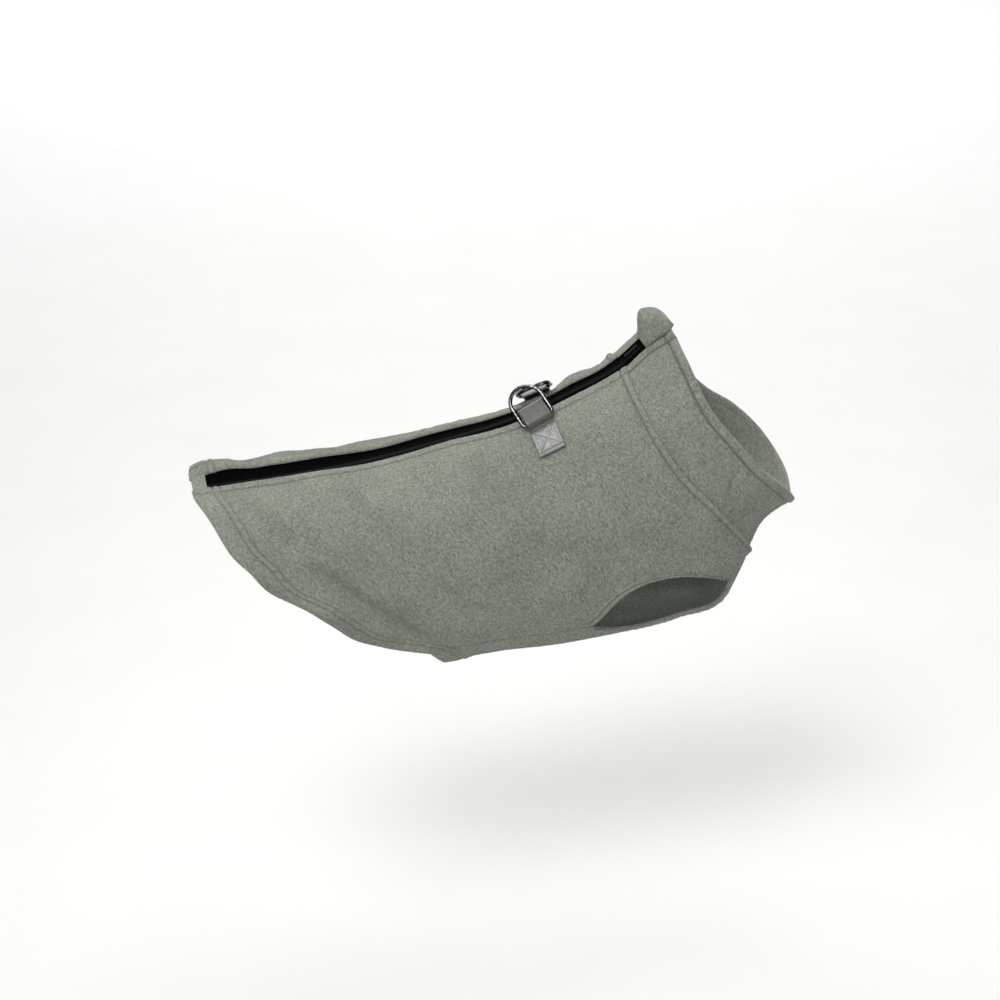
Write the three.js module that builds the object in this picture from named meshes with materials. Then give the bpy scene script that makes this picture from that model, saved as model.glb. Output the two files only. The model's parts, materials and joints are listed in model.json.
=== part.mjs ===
// Sleeveless fleece vest for a dog, in its worn shape: a zip along the back, a stand-up collar,
// two leg openings and a D-ring on a webbing tab on each side of the zip.
// Millimetres. +X towards the head, +Y the dog's left side, +Z up. The origin lies on the wearer's
// side of the back, on the centre line above the shoulders.
import * as THREE from 'three';
import { mergeVertices } from 'three/addons/utils/BufferGeometryUtils.js';

// Cloth thicknesses
const CLOTH = 2.2;
const HEM_RISE = 1.0;
const PLACKET_RISE = 0.9;
const NECK_RIDGE = 1.5;
const COLLAR_CLOTH = 3.0;
const COLLAR_SINK = 0.5;
const RIM_RISE = 0.8;
const SEAM_GAP = 0.34;

// Widths of the sewn bands
const HEM_BAND = 16;
const ARM_BAND = 6;
const PLACKET_BAND = 9;
const NECK_BAND = 6;
const RIM_BAND = 7;

// Zip
const TAPE_THICK = 0.9;
const TAPE_SINK = 2.8;
const TAPE_UNDER = 5;
const TAPE_SPLIT = 0.4;
const CHAIN_HALF = 2.9;
const CHAIN_THICK = 1.5;
const ZIP_START = -232;
const ZIP_STOP = 84;

// Webbing tabs and D-rings
const WEB_WIDTH = 19;
const WEB_LAYER = 1.3;
const WEB_LIFT = 0.8;
const TAB_STATION = -5.5;
const TAB_ANGLE = 16.5;
const TAB_SKEW = 12;
const TAB_LOWER = 22.6;
const LOOP_LENGTH = 17.6;
const LOOP_LIFT = { right: 21, left: 6 };
const LEFT_SHIFT = 8.5;
const RING_WIRE = 2.8;
const RING_WIDTH = 26;
const RING_HEIGHT = 29.5;
const RING_CORNER = 2.3;
const BAR_FROM_STITCH = 4.4;
const BAR_CLEAR = 0.35;

// Millimetres per degree round the body, used only to lay out the folds
const ARC = 1.45;

// Cross-sections of the garment from tail to collar. s: place along the back line, top: height of the
// back line, lean: tilt of the section towards the tail (degrees), tall: top to bottom, half: half
// width, wide: how far down the widest place lies (share of tall), crown and keel: squareness.
const SECTIONS = [
  { s: -250, top: -37.5, lean: 1, tall: 148, half: 60, wide: 0.45, crown: 3.0, keel: 2.2 },
  { s: -190, top: -34.0, lean: 2, tall: 153, half: 64, wide: 0.45, crown: 2.8, keel: 2.2 },
  { s: -130, top: -28.0, lean: 4, tall: 157, half: 67, wide: 0.46, crown: 2.5, keel: 2.2 },
  { s: -70, top: -16.5, lean: 7, tall: 163, half: 69, wide: 0.47, crown: 2.3, keel: 2.2 },
  { s: -20, top: -4.5, lean: 13, tall: 175, half: 69, wide: 0.48, crown: 2.12, keel: 2.2 },
  { s: 25, top: 13.5, lean: 22.5, tall: 192, half: 66, wide: 0.48, crown: 2.0, keel: 2.2 },
  { s: 45, top: 22.5, lean: 27, tall: 196, half: 62, wide: 0.475, crown: 2.0, keel: 2.2 },
  { s: 57, top: 29.5, lean: 31.5, tall: 178, half: 58, wide: 0.49, crown: 2.0, keel: 2.1 },
  { s: 72, top: 42.5, lean: 32.5, tall: 166, half: 53, wide: 0.5, crown: 2.0, keel: 2.1 },
  { s: 88, top: 56.5, lean: 35.5, tall: 169, half: 50, wide: 0.49, crown: 2.0, keel: 2.1 },
  { s: 104, top: 71, lean: 38, tall: 172, half: 48, wide: 0.48, crown: 2.0, keel: 2.1 },
];

// Rear hem: angle round the body from the back line (degrees) and place along the body
const HEM = [
  { phi: 0, s: -243 },
  { phi: 10, s: -242.6 },
  { phi: 20, s: -241 },
  { phi: 36, s: -234 },
  { phi: 55, s: -224 },
  { phi: 67, s: -212 },
  { phi: 80, s: -200 },
  { phi: 93, s: -177 },
  { phi: 105, s: -163 },
  { phi: 117, s: -149 },
  { phi: 124, s: -133 },
  { phi: 132, s: -114 },
  { phi: 138, s: -101 },
];

// Neck seam round the body
const NECK = [
  { phi: 0, s: 57 },
  { phi: 5, s: 54.5 },
  { phi: 20, s: 48.5 },
  { phi: 40, s: 43.5 },
  { phi: 60, s: 43.5 },
  { phi: 80, s: 46 },
  { phi: 100, s: 48.5 },
  { phi: 120, s: 51 },
  { phi: 143, s: 56 },
  { phi: 180, s: 58 },
];

// Collar rim round the neck, right side and left side
const RIM = [
  { phi: 0, right: 88, left: 88 },
  { phi: 20, right: 84, left: 86 },
  { phi: 50, right: 78, left: 84 },
  { phi: 90, right: 77, left: 85 },
  { phi: 120, right: 80, left: 90 },
  { phi: 150, right: 84, left: 92 },
  { phi: 180, right: 89, left: 89 },
];

// Edges of the zip opening: distance from the centre line on each side
const ZIP_EDGE = [
  { s: -245, right: 8.0, left: 7.5 },
  { s: -231, right: 8.6, left: 8.2 },
  { s: -205, right: 10.4, left: 9.0 },
  { s: -176, right: 9.8, left: 9.4 },
  { s: -150, right: 8.4, left: 10.4 },
  { s: -121, right: 9.6, left: 10.2 },
  { s: -90, right: 9.0, left: 11.4 },
  { s: -65, right: 7.8, left: 12.0 },
  { s: -37, right: 10.2, left: 11.4 },
  { s: 4, right: 9.8, left: 12.4 },
  { s: 33, right: 8.6, left: 12.8 },
  { s: 60, right: 7.6, left: 12.4 },
  { s: 95, right: 7.4, left: 11.6 },
];

// Side seam, upper and lower edge of a leg opening, and the short chest seam in front of it
const SIDE_SEAM = [
  { s: -101, phi: 138 },
  { s: -78, phi: 136.6 },
  { s: -50, phi: 136.4 },
  { s: -12, phi: 140 },
];
const ARM_TOP = [
  { s: -12, phi: 140 },
  { s: -7, phi: 135.5 },
  { s: 1, phi: 127 },
  { s: 9, phi: 122.3 },
  { s: 18, phi: 121.5 },
  { s: 27, phi: 124.5 },
  { s: 36, phi: 130 },
  { s: 44, phi: 140 },
  { s: 49, phi: 155 },
];
const ARM_LOW = [
  { s: -12, phi: 140 },
  { s: -5, phi: 147 },
  { s: 6, phi: 153.5 },
  { s: 20, phi: 158 },
  { s: 34, phi: 160.5 },
  { s: 43, phi: 160.5 },
  { s: 49, phi: 155 },
];
const CHEST_SEAM = [
  { s: 49, phi: 155 },
  { s: 52, phi: 150 },
  { s: 56, phi: 143 },
];
const BELLY_HEM = [
  { s: -101, phi: 138 },
  { s: -94, phi: 150 },
  { s: -89, phi: 165 },
  { s: -87, phi: 180 },
];

// Soft folds: side 0 is both, from (s1, phi1) to (s2, phi2), spread and height in mm (minus is a trough)
const FOLDS = [
  { side: -1, s1: -206, phi1: 16, s2: -182, phi2: 62, spread: 9, rise: 1.1 },
  { side: -1, s1: -184, phi1: 12, s2: -150, phi2: 56, spread: 8, rise: -1.7 },
  { side: -1, s1: -164, phi1: 12, s2: -126, phi2: 50, spread: 8, rise: 1.5 },
  { side: -1, s1: -146, phi1: 14, s2: -112, phi2: 40, spread: 7, rise: -1.0 },
  { side: -1, s1: -120, phi1: 52, s2: -88, phi2: 112, spread: 15, rise: -2.4 },
  { side: -1, s1: -92, phi1: 44, s2: -60, phi2: 100, spread: 14, rise: 1.5 },
  { side: -1, s1: -170, phi1: 98, s2: -100, phi2: 131, spread: 6, rise: -2.0 },
  { side: -1, s1: -186, phi1: 82, s2: -112, phi2: 124, spread: 9, rise: 1.2 },
  { side: -1, s1: -46, phi1: 66, s2: -6, phi2: 104, spread: 12, rise: -1.8 },
  { side: -1, s1: -30, phi1: 112, s2: 6, phi2: 84, spread: 9, rise: 1.2 },
  { side: -1, s1: 18, phi1: 112, s2: 28, phi2: 62, spread: 10, rise: -1.3 },
  { side: -1, s1: 56, phi1: 120, s2: 80, phi2: 104, spread: 5, rise: -1.5 },
  { side: -1, s1: 60, phi1: 134, s2: 84, phi2: 122, spread: 6, rise: 1.0 },
  { side: 1, s1: -262, phi1: 26, s2: -70, phi2: 24, spread: 17, rise: 4.4 },
  { side: 1, s1: -212, phi1: 14, s2: -176, phi2: 70, spread: 10, rise: -1.5 },
  { side: 1, s1: -190, phi1: 12, s2: -158, phi2: 46, spread: 8, rise: 1.4 },
  { side: 1, s1: -150, phi1: 14, s2: -108, phi2: 58, spread: 9, rise: -1.6 },
  { side: 1, s1: -132, phi1: 66, s2: -84, phi2: 118, spread: 14, rise: 1.7 },
  { side: 1, s1: -108, phi1: 58, s2: -62, phi2: 114, spread: 13, rise: -2.2 },
  { side: 1, s1: -176, phi1: 94, s2: -106, phi2: 130, spread: 7, rise: -1.8 },
  { side: 1, s1: -52, phi1: 78, s2: -14, phi2: 112, spread: 11, rise: -1.7 },
  { side: 1, s1: -24, phi1: 100, s2: 14, phi2: 74, spread: 10, rise: 1.3 },
  { side: 1, s1: 22, phi1: 108, s2: 34, phi2: 56, spread: 9, rise: -1.2 },
  { side: 1, s1: 58, phi1: 96, s2: 86, phi2: 112, spread: 6, rise: -1.4 },
  { side: 0, s1: -80, phi1: 150, s2: -30, phi2: 166, spread: 9, rise: -1.2 },
];

const RAD = Math.PI / 180;
const { clamp, smoothstep, lerp } = THREE.MathUtils;

function finish(color, roughness, metalness) {
  return new THREE.MeshStandardMaterial({ color, roughness, metalness });
}

// Smooth curve through one column of a table
function spline(rows, key, x, by = 's') {
  const last = rows.length - 1;
  let i = 0;
  while (i < last - 1 && x > rows[i + 1][by]) i += 1;
  const slope = (k) => (rows[k + 1][key] - rows[k][key]) / (rows[k + 1][by] - rows[k][by]);
  const tangent = (k) => {
    if (k === 0) return slope(0);
    if (k === last) return slope(last - 1);
    const before = rows[k][by] - rows[k - 1][by];
    const after = rows[k + 1][by] - rows[k][by];
    return (slope(k - 1) * after + slope(k) * before) / (before + after);
  };
  const h = rows[i + 1][by] - rows[i][by];
  const t = (x - rows[i][by]) / h;
  const a = 2 * t ** 3 - 3 * t ** 2 + 1;
  const b = t ** 3 - 2 * t ** 2 + t;
  const c = 3 * t ** 2 - 2 * t ** 3;
  const d = t ** 3 - t ** 2;
  return a * rows[i][key] + b * h * tangent(i) + c * rows[i + 1][key] + d * h * tangent(i + 1);
}

function section(s) {
  const at = (key) => spline(SECTIONS, key, s);
  return {
    top: at('top'),
    lean: at('lean') * RAD,
    up: at('tall') * at('wide'),
    down: at('tall') * (1 - at('wide')),
    half: at('half'),
    crown: at('crown'),
    keel: at('keel'),
  };
}

// Point of the garment's outer side. phi: degrees from the back line, minus on the right side
function basePoint(s, phi) {
  const q = section(s);
  const cos = Math.cos(phi * RAD);
  const sin = Math.sin(phi * RAD);
  const power = lerp(q.keel, q.crown, 0.5 + 0.5 * clamp(cos * 3, -1, 1));
  const reach = cos > 0 ? q.up : q.down;
  const r = ((Math.abs(sin) / q.half) ** power + (Math.abs(cos) / reach) ** power) ** (-1 / power);
  const drop = q.up - r * cos;
  return new THREE.Vector3(s + drop * Math.sin(q.lean), r * sin, q.top - drop * Math.cos(q.lean));
}

function normalAt(s, phi) {
  const along = basePoint(s + 0.5, phi).sub(basePoint(s - 0.5, phi));
  const round = basePoint(s, phi + 0.3).sub(basePoint(s, phi - 0.3));
  return along.cross(round).normalize();
}

function foldHeight(s, phi) {
  const side = Math.sign(phi);
  let sum = 0;
  for (const f of FOLDS) {
    if (f.side !== 0 && f.side !== side) continue;
    const ds = f.s2 - f.s1;
    const da = (f.phi2 - f.phi1) * ARC;
    const length = Math.hypot(ds, da);
    const ps = s - f.s1;
    const pa = (Math.abs(phi) - f.phi1) * ARC;
    const along = (ps * ds + pa * da) / length;
    const across = (ps * da - pa * ds) / length;
    const start = smoothstep(along, -f.spread, length * 0.35);
    const end = 1 - smoothstep(along, length * 0.6, length + f.spread);
    sum += f.rise * Math.exp(-((across / f.spread) ** 2)) * start * end;
  }
  return sum;
}

// Point on the cloth, moved out by the given amount
function onCloth(s, phi, out = 0) {
  return basePoint(s, phi).addScaledVector(normalAt(s, phi), foldHeight(s, phi) + out);
}

// Angle at which the back line is the given distance to the side
function angleAt(s, y) {
  return Math.asin(y / section(s).up) / RAD;
}

// Points of a table's line in (s, phi), at the given shares of its length
function trace(rows, shares) {
  const curve = new THREE.SplineCurve(rows.map((row) => new THREE.Vector2(row.s, row.phi * ARC)));
  return shares.map((t) => {
    const p = curve.getPointAt(t);
    return { s: p.x, phi: p.y / ARC };
  });
}

// Shares from 0 to 1 with extra lines near both ends
function shares(first, last, count) {
  const start = first[first.length - 1];
  const stop = 1 - last[last.length - 1];
  const list = [...first];
  for (let i = 1; i < count; i += 1) list.push(start + ((stop - start) * i) / count);
  for (let i = last.length - 1; i >= 0; i -= 1) list.push(1 - last[i]);
  return list;
}

// Grid of (s, phi) between four edges that share their corners
function fill(top, low, rear, front) {
  const n = top.length - 1;
  const m = rear.length - 1;
  const rows = [];
  for (let i = 0; i <= n; i += 1) {
    const u = i / n;
    const row = [];
    for (let j = 0; j <= m; j += 1) {
      const reach = lerp(shareOf(rear, j), shareOf(front, j), u);
      const along = lerp(shareOf(top, i), shareOf(low, i), reach);
      const blend = {};
      for (const key of ['s', 'phi']) {
        const ruled = lerp(top[i][key], low[i][key], reach) + lerp(rear[j][key], front[j][key], along);
        const nearTop = lerp(top[0][key], top[n][key], along);
        const nearLow = lerp(low[0][key], low[n][key], along);
        blend[key] = ruled - lerp(nearTop, nearLow, reach);
      }
      row.push(blend);
    }
    rows.push(row);
  }
  return rows;
}

function shareOf(line, i) {
  let total = 0;
  let part = 0;
  for (let k = 1; k < line.length; k += 1) {
    total += Math.hypot(line[k].s - line[k - 1].s, (line[k].phi - line[k - 1].phi) * ARC);
    if (k === i) part = total;
  }
  return part / total;
}

// Closed body between two matching grids of points
function closedWall(outer, inner) {
  const n = outer.length;
  const m = outer[0].length;
  const positions = [];
  for (const grid of [outer, inner]) {
    for (const row of grid) for (const p of row) positions.push(p.x, p.y, p.z);
  }
  const o = (i, j) => i * m + j;
  const k = (i, j) => n * m + i * m + j;
  const index = [];
  const quad = (a, b, c, d) => index.push(a, b, c, a, c, d);
  for (let i = 0; i < n - 1; i += 1) {
    for (let j = 0; j < m - 1; j += 1) {
      quad(o(i, j), o(i + 1, j), o(i + 1, j + 1), o(i, j + 1));
      quad(k(i, j), k(i, j + 1), k(i + 1, j + 1), k(i + 1, j));
    }
    quad(o(i, 0), k(i, 0), k(i + 1, 0), o(i + 1, 0));
    quad(o(i, m - 1), o(i + 1, m - 1), k(i + 1, m - 1), k(i, m - 1));
  }
  for (let j = 0; j < m - 1; j += 1) {
    quad(o(0, j), o(0, j + 1), k(0, j + 1), k(0, j));
    quad(o(n - 1, j), k(n - 1, j), k(n - 1, j + 1), o(n - 1, j + 1));
  }
  const geometry = new THREE.BufferGeometry();
  geometry.setAttribute('position', new THREE.Float32BufferAttribute(positions, 3));
  geometry.setIndex(volume(positions, index) > 0 ? index : index.reverse());
  return geometry;
}

function volume(positions, index) {
  const at = (i) => new THREE.Vector3().fromArray(positions, index[i] * 3);
  let sum = 0;
  for (let i = 0; i < index.length; i += 3) sum += at(i).dot(at(i + 1).cross(at(i + 2)));
  return sum;
}

// Distance of each grid point from an edge, along the grid lines
function edgeDistances(points) {
  const n = points.length;
  const m = points[0].length;
  const table = points.map((row) => row.map(() => ({ top: 0, low: 0, rear: 0, front: 0 })));
  for (let i = 0; i < n; i += 1) {
    for (let j = 0; j < m; j += 1) {
      const back = [n - 1 - i, m - 1 - j];
      if (j > 0) {
        table[i][j].top = table[i][j - 1].top + points[i][j].distanceTo(points[i][j - 1]);
        table[i][back[1]].low = table[i][back[1] + 1].low + points[i][back[1]].distanceTo(points[i][back[1] + 1]);
      }
      if (i > 0) {
        table[i][j].rear = table[i - 1][j].rear + points[i][j].distanceTo(points[i - 1][j]);
        table[back[0]][j].front = table[back[0] + 1][j].front + points[back[0]][j].distanceTo(points[back[0] + 1][j]);
      }
    }
  }
  return table;
}

// Cloth wall over a grid of (s, phi). under and over give the two sides' heights from the edge distances
function clothWall(grid, under, over, gaps = {}) {
  const n = grid.length;
  const m = grid[0].length;
  const base = grid.map((row) => row.map((q) => onCloth(q.s, q.phi)));
  const away = edgeDistances(base);
  const side = (height) => {
    const points = grid.map((row, i) => row.map((q, j) => onCloth(q.s, q.phi, height(away[i][j], i, j))));
    return points.map((row, i) => row.map((p, j) => {
      const shift = new THREE.Vector3();
      const pull = (i2, j2, gap) => shift.add(points[i2][j2].clone().sub(p).setLength(gap));
      if (gaps.top && j === 0) pull(i, 1, gaps.top);
      if (gaps.low && j === m - 1) pull(i, m - 2, gaps.low);
      if (gaps.rear && i === 0) pull(1, j, gaps.rear);
      if (gaps.front && i === n - 1) pull(n - 2, j, gaps.front);
      return p.clone().add(shift);
    }));
  };
  return closedWall(side(over), side(under));
}

function part(name, geometry, material) {
  const mesh = new THREE.Mesh(geometry, material);
  mesh.name = name;
  return mesh;
}

// Height of a sewn band: full at the edge, gone past its width
function band(distance, width, rise) {
  return rise * (1 - smoothstep(distance, width - 0.5, width + 2.5));
}

// The outline rounds over in the last two millimetres of an edge
function edgeRound(distance) {
  return -0.7 * (1 - smoothstep(distance, 0, 2));
}

// Side panel, from the zip round to the side seam, the leg opening and the chest seam
const LENGTH_START = [0, 0.007, 0.045, 0.058];
const LENGTH_STOP = [0, 0.007, 0.02, 0.03];
const SEAM_SHARES = shares([0, 0.02, 0.15, 0.19], [0], 7);
const ARM_SHARES = shares([0], [0], 14);
const CHEST_SHARES = [0, 0.25, 0.5, 0.72, 0.87, 1];
const ROUND_SHARES = shares([0, 0.008, 0.055, 0.07], [0, 0.008, 0.028, 0.04], 13);
const CHEST_ROUND = shares([0, 0.02, 0.09], [0, 0.02, 0.09], 8);
const COLLAR_SHARES = [0, 0.03, 0.2, 0.42, 0.64, 0.79, 0.83, 0.87, 0.96, 1];
const ZIP_AT_NECK = 54.2;

function sidePanel(side) {
  const zipKey = side < 0 ? 'right' : 'left';
  const low = [
    ...trace(SIDE_SEAM, SEAM_SHARES),
    ...trace(ARM_TOP, ARM_SHARES).slice(1),
    ...trace(CHEST_SEAM, CHEST_SHARES).slice(1),
  ];
  const topShares = shares(LENGTH_START, LENGTH_STOP, low.length - LENGTH_START.length - LENGTH_STOP.length + 1);
  const zipAngle = (s) => angleAt(s, spline(ZIP_EDGE, zipKey, s));
  const rearTop = zipAngle(-242.7);
  const rear = hemLine(rearTop);
  const front = neckLine(zipAngle(ZIP_AT_NECK));
  const first = rear[0].s;
  const last = front[0].s;
  const top = topShares.map((t) => {
    const s = lerp(first, last, t);
    return { s, phi: t === 0 ? rear[0].phi : t === 1 ? front[0].phi : zipAngle(s) };
  });
  const grid = fill(top, low, rear, front).map((row) => row.map((q) => ({ s: q.s, phi: q.phi * side })));
  const seamCells = SEAM_SHARES.length - 1;
  const armCells = seamCells + ARM_SHARES.length - 1;
  const over = (d, i) => {
    const arm = i >= seamCells && i <= armCells ? band(d.low, ARM_BAND, HEM_RISE) : 0;
    const hem = band(d.rear, HEM_BAND, HEM_RISE);
    const placket = band(d.top, PLACKET_BAND, PLACKET_RISE);
    const neck = band(d.front, NECK_BAND, NECK_RIDGE);
    const rounding = edgeRound(Math.min(d.top, d.rear, d.front, arm > 0 ? d.low : 9));
    return Math.max(arm, hem, placket, neck) + rounding;
  };
  return clothWall(grid, () => -CLOTH, over, { low: SEAM_GAP / 2, front: SEAM_GAP / 2 });
}

function hemLine(startPhi) {
  const rows = [{ s: spline(HEM, 's', startPhi, 'phi'), phi: startPhi }];
  for (const row of HEM) if (row.phi > startPhi + 3) rows.push(row);
  return trace(rows, ROUND_SHARES);
}

function neckLine(startPhi) {
  const rows = [{ s: spline(NECK, 's', startPhi, 'phi'), phi: startPhi }];
  for (const row of NECK) if (row.phi > startPhi + 3 && row.phi <= 143) rows.push(row);
  return trace(rows, ROUND_SHARES);
}

// Mirrors a line that ends on the belly's middle over to the left side
function mirrored(rows) {
  return [...rows, ...rows.slice(0, -1).reverse().map((q) => ({ s: q.s, phi: 360 - q.phi }))];
}

function signed(q) {
  return { s: q.s, phi: q.phi > 180 ? q.phi - 360 : q.phi };
}

function chestNeckLine() {
  const rows = [143, 155, 167, 180].map((phi) => ({ s: spline(NECK, 's', phi, 'phi'), phi }));
  return trace(mirrored(rows), CHEST_ROUND);
}

// Chest and belly panel, one piece between the two side panels, from the belly hem to the neck seam
function chestPanel() {
  const left = [
    ...trace(SIDE_SEAM, SEAM_SHARES),
    ...trace(ARM_LOW, ARM_SHARES).slice(1),
    ...trace(CHEST_SEAM, CHEST_SHARES).slice(1),
  ];
  const right = left.map((q) => ({ s: q.s, phi: 360 - q.phi }));
  const rear = trace(mirrored(BELLY_HEM), CHEST_ROUND);
  const grid = fill(left, right, rear, chestNeckLine()).map((row) => row.map(signed));
  const seamCells = SEAM_SHARES.length - 1;
  const armCells = seamCells + ARM_SHARES.length - 1;
  const over = (d, i) => {
    const inArm = i >= seamCells && i <= armCells;
    const arm = inArm ? band(Math.min(d.top, d.low), ARM_BAND, HEM_RISE) : 0;
    const rounding = edgeRound(Math.min(d.rear, d.front, inArm ? Math.min(d.top, d.low) : 9));
    const hem = band(d.rear, 9, HEM_RISE);
    return Math.max(arm, hem, band(d.front, NECK_BAND, NECK_RIDGE)) + rounding;
  };
  const gap = SEAM_GAP / 2;
  return clothWall(grid, () => -CLOTH, over, { top: gap, low: gap, front: gap });
}

// Collar, one band of doubled cloth from zip edge to zip edge, standing on the neck seam
function collar() {
  const zip = (s, side) => angleAt(s, spline(ZIP_EDGE, side, s));
  const half = (side) => neckLine(zip(ZIP_AT_NECK, side)).map((q) => ({ ...q, side }));
  const front = chestNeckLine().slice(1, -1).map((q) => (
    q.phi > 180 ? { s: q.s, phi: 360 - q.phi, side: 'right' } : { ...q, side: 'left' }
  ));
  const seam = [...half('left'), ...front, ...half('right').reverse()];
  const grid = seam.map((q) => COLLAR_SHARES.map((v) => {
    const guess = lerp(ZIP_AT_NECK, 88, v);
    const start = zip(ZIP_AT_NECK, q.side);
    const phi = 180 - ((180 - q.phi) * (180 - zip(guess, q.side))) / (180 - start);
    return { s: lerp(q.s, spline(RIM, q.side, phi, 'phi'), v), phi: q.side === 'left' ? phi : -phi };
  }));
  const over = (d) => {
    const rim = band(d.low, RIM_BAND, RIM_RISE);
    const placket = band(Math.min(d.rear, d.front), PLACKET_BAND - 2, RIM_RISE * 0.8);
    const low = -0.4 * (1 - smoothstep(d.top, 2, 8));
    return -COLLAR_SINK + low + Math.max(rim, placket) + edgeRound(Math.min(d.low, d.rear, d.front));
  };
  const thin = (d) => 1.5 * (1 - smoothstep(Math.min(d.rear, d.front), 8, 16));
  return clothWall(grid, (d) => -COLLAR_CLOTH - COLLAR_SINK + thin(d), over, { top: SEAM_GAP / 2 });
}

// Strip along the back between two distances from the centre line
function backStrip(start, stop, steps, fromY, toY, columns, under, over) {
  const grid = [];
  for (let i = 0; i <= steps; i += 1) {
    const s = lerp(start, stop, i / steps);
    const row = [];
    for (let j = 0; j <= columns; j += 1) row.push({ s, phi: angleAt(s, lerp(fromY(s), toY(s), j / columns)) });
    grid.push(row);
  }
  return clothWall(grid, under, over);
}

function zipTape(side) {
  const key = side < 0 ? 'right' : 'left';
  const outer = (s) => side * (spline(ZIP_EDGE, key, s) + TAPE_UNDER);
  const start = ZIP_START + 0.4;
  const flat = (level) => () => level;
  return backStrip(start, ZIP_STOP, 34, outer, () => side * TAPE_SPLIT, 3,
    flat(-TAPE_SINK - TAPE_THICK), flat(-TAPE_SINK));
}

function zipChain() {
  const low = -TAPE_SINK + 0.3;
  const crown = (d, i, j) => low + (j === 0 || j === 4 ? CHAIN_THICK * 0.45 : CHAIN_THICK);
  return backStrip(ZIP_START + 1, ZIP_STOP - 1, 44, () => -CHAIN_HALF, () => CHAIN_HALF, 4, () => low, crown);
}

// Short fleece piece that closes the tail end of the zip, between the two plackets
function zipEndTab() {
  const inset = SEAM_GAP + 0.1;
  const right = (s) => -spline(ZIP_EDGE, 'right', s) + inset;
  const left = (s) => spline(ZIP_EDGE, 'left', s) - inset;
  return backStrip(-241.2, ZIP_START, 4, right, left, 6, () => -CLOTH - 0.6, (d) => (
    -0.5 + 0.4 * Math.min(1, d.rear / 3) + edgeRound(Math.min(d.rear, d.front))
  ));
}

// Fold of fleece that stands over the neck end of the zip
function zipGarage() {
  const crest = (d, i, j) => {
    const u = i / 8;
    const v = j / 10;
    const dome = Math.sin(Math.PI * clamp(v * 0.94 + 0.03, 0, 1)) ** 0.55;
    const rise = smoothstep(u, -0.35, 0.45) * (1 - 0.35 * smoothstep(u, 0.7, 1.25));
    return 1.6 + 10.2 * dome * rise;
  };
  const hollow = (d, i, j) => Math.max(0.75, crest(d, i, j) - 3.4 - (j === 0 || j === 10 ? -1.6 : 0));
  return backStrip(70.5, 89.5, 8, () => -9.6, () => 13.2, 10, hollow, crest);
}

// Zip slider: a channel over the chain with its pull lying forward
function zipSlider() {
  const half = CHAIN_HALF + 0.5;
  const under = -TAPE_SINK + 0.3;
  const top = under + CHAIN_THICK + 0.3;
  const profile = new THREE.Shape([
    [-half - 1, under], [-half, under], [-half, top], [half, top], [half, under], [half + 1, under],
    [half + 1, top + 1], [1.6, top + 1.1], [1.6, top + 2.4], [-1.6, top + 2.4], [-1.6, top + 1.1], [-half - 1, top + 1],
  ].map(([y, z]) => new THREE.Vector2(y, z)));
  const geometry = new THREE.ExtrudeGeometry(profile, { depth: 8.4, steps: 3, bevelEnabled: false });
  return placed(geometry, (p) => onCloth(60.5 + p.z, angleAt(60.5 + p.z, p.x), p.y));
}

// Moves every corner of a geometry and joins the doubled ones
function placed(geometry, move) {
  geometry.deleteAttribute('normal');
  geometry.deleteAttribute('uv');
  const position = geometry.getAttribute('position');
  for (let i = 0; i < position.count; i += 1) {
    const p = move(new THREE.Vector3().fromBufferAttribute(position, i));
    position.setXYZ(i, p.x, p.y, p.z);
  }
  const joined = mergeVertices(geometry, 1e-3);
  const index = Array.from(joined.index.array);
  if (volume(joined.attributes.position.array, index) < 0) joined.setIndex(index.reverse());
  return joined;
}

// Frame of a webbing tab at its first stitch line: along the bar, up the loop, and out of the cloth
function tabFrame(side) {
  const station = TAB_STATION + (side > 0 ? LEFT_SHIFT : 0);
  const perStation = 1 / basePoint(station + 1, side * TAB_ANGLE).distanceTo(basePoint(station, side * TAB_ANGLE));
  const perDegree = 1 / basePoint(station, TAB_ANGLE + 1).distanceTo(basePoint(station, TAB_ANGLE));
  const skew = TAB_SKEW * RAD;
  const lower = (w, q, out) => {
    const s = station + w * Math.cos(skew) * perStation;
    const phi = TAB_ANGLE + (q - w * Math.sin(skew)) * perDegree;
    return onCloth(s, side * phi, out);
  };
  const origin = lower(0, 0, 0);
  const along = lower(5, 0, 0).sub(lower(-5, 0, 0)).normalize();
  const rough = lower(0, -2, 0).sub(lower(0, 2, 0)).normalize();
  const out = normalAt(station, side * TAB_ANGLE);
  const up = rough.clone().addScaledVector(along, -rough.dot(along)).normalize();
  out.addScaledVector(along, -out.dot(along)).addScaledVector(up, -out.dot(up)).normalize();
  const lift = (side < 0 ? LOOP_LIFT.right : LOOP_LIFT.left) * RAD;
  const loop = up.clone().multiplyScalar(Math.cos(lift)).addScaledVector(out, Math.sin(lift));
  const away = out.clone().multiplyScalar(Math.cos(lift)).addScaledVector(up, -Math.sin(lift));
  return { lower, origin, along, loop, away };
}

const BAR_HEIGHT = WEB_LIFT + WEB_LAYER + RING_WIRE / 2 + BAR_CLEAR;

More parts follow.
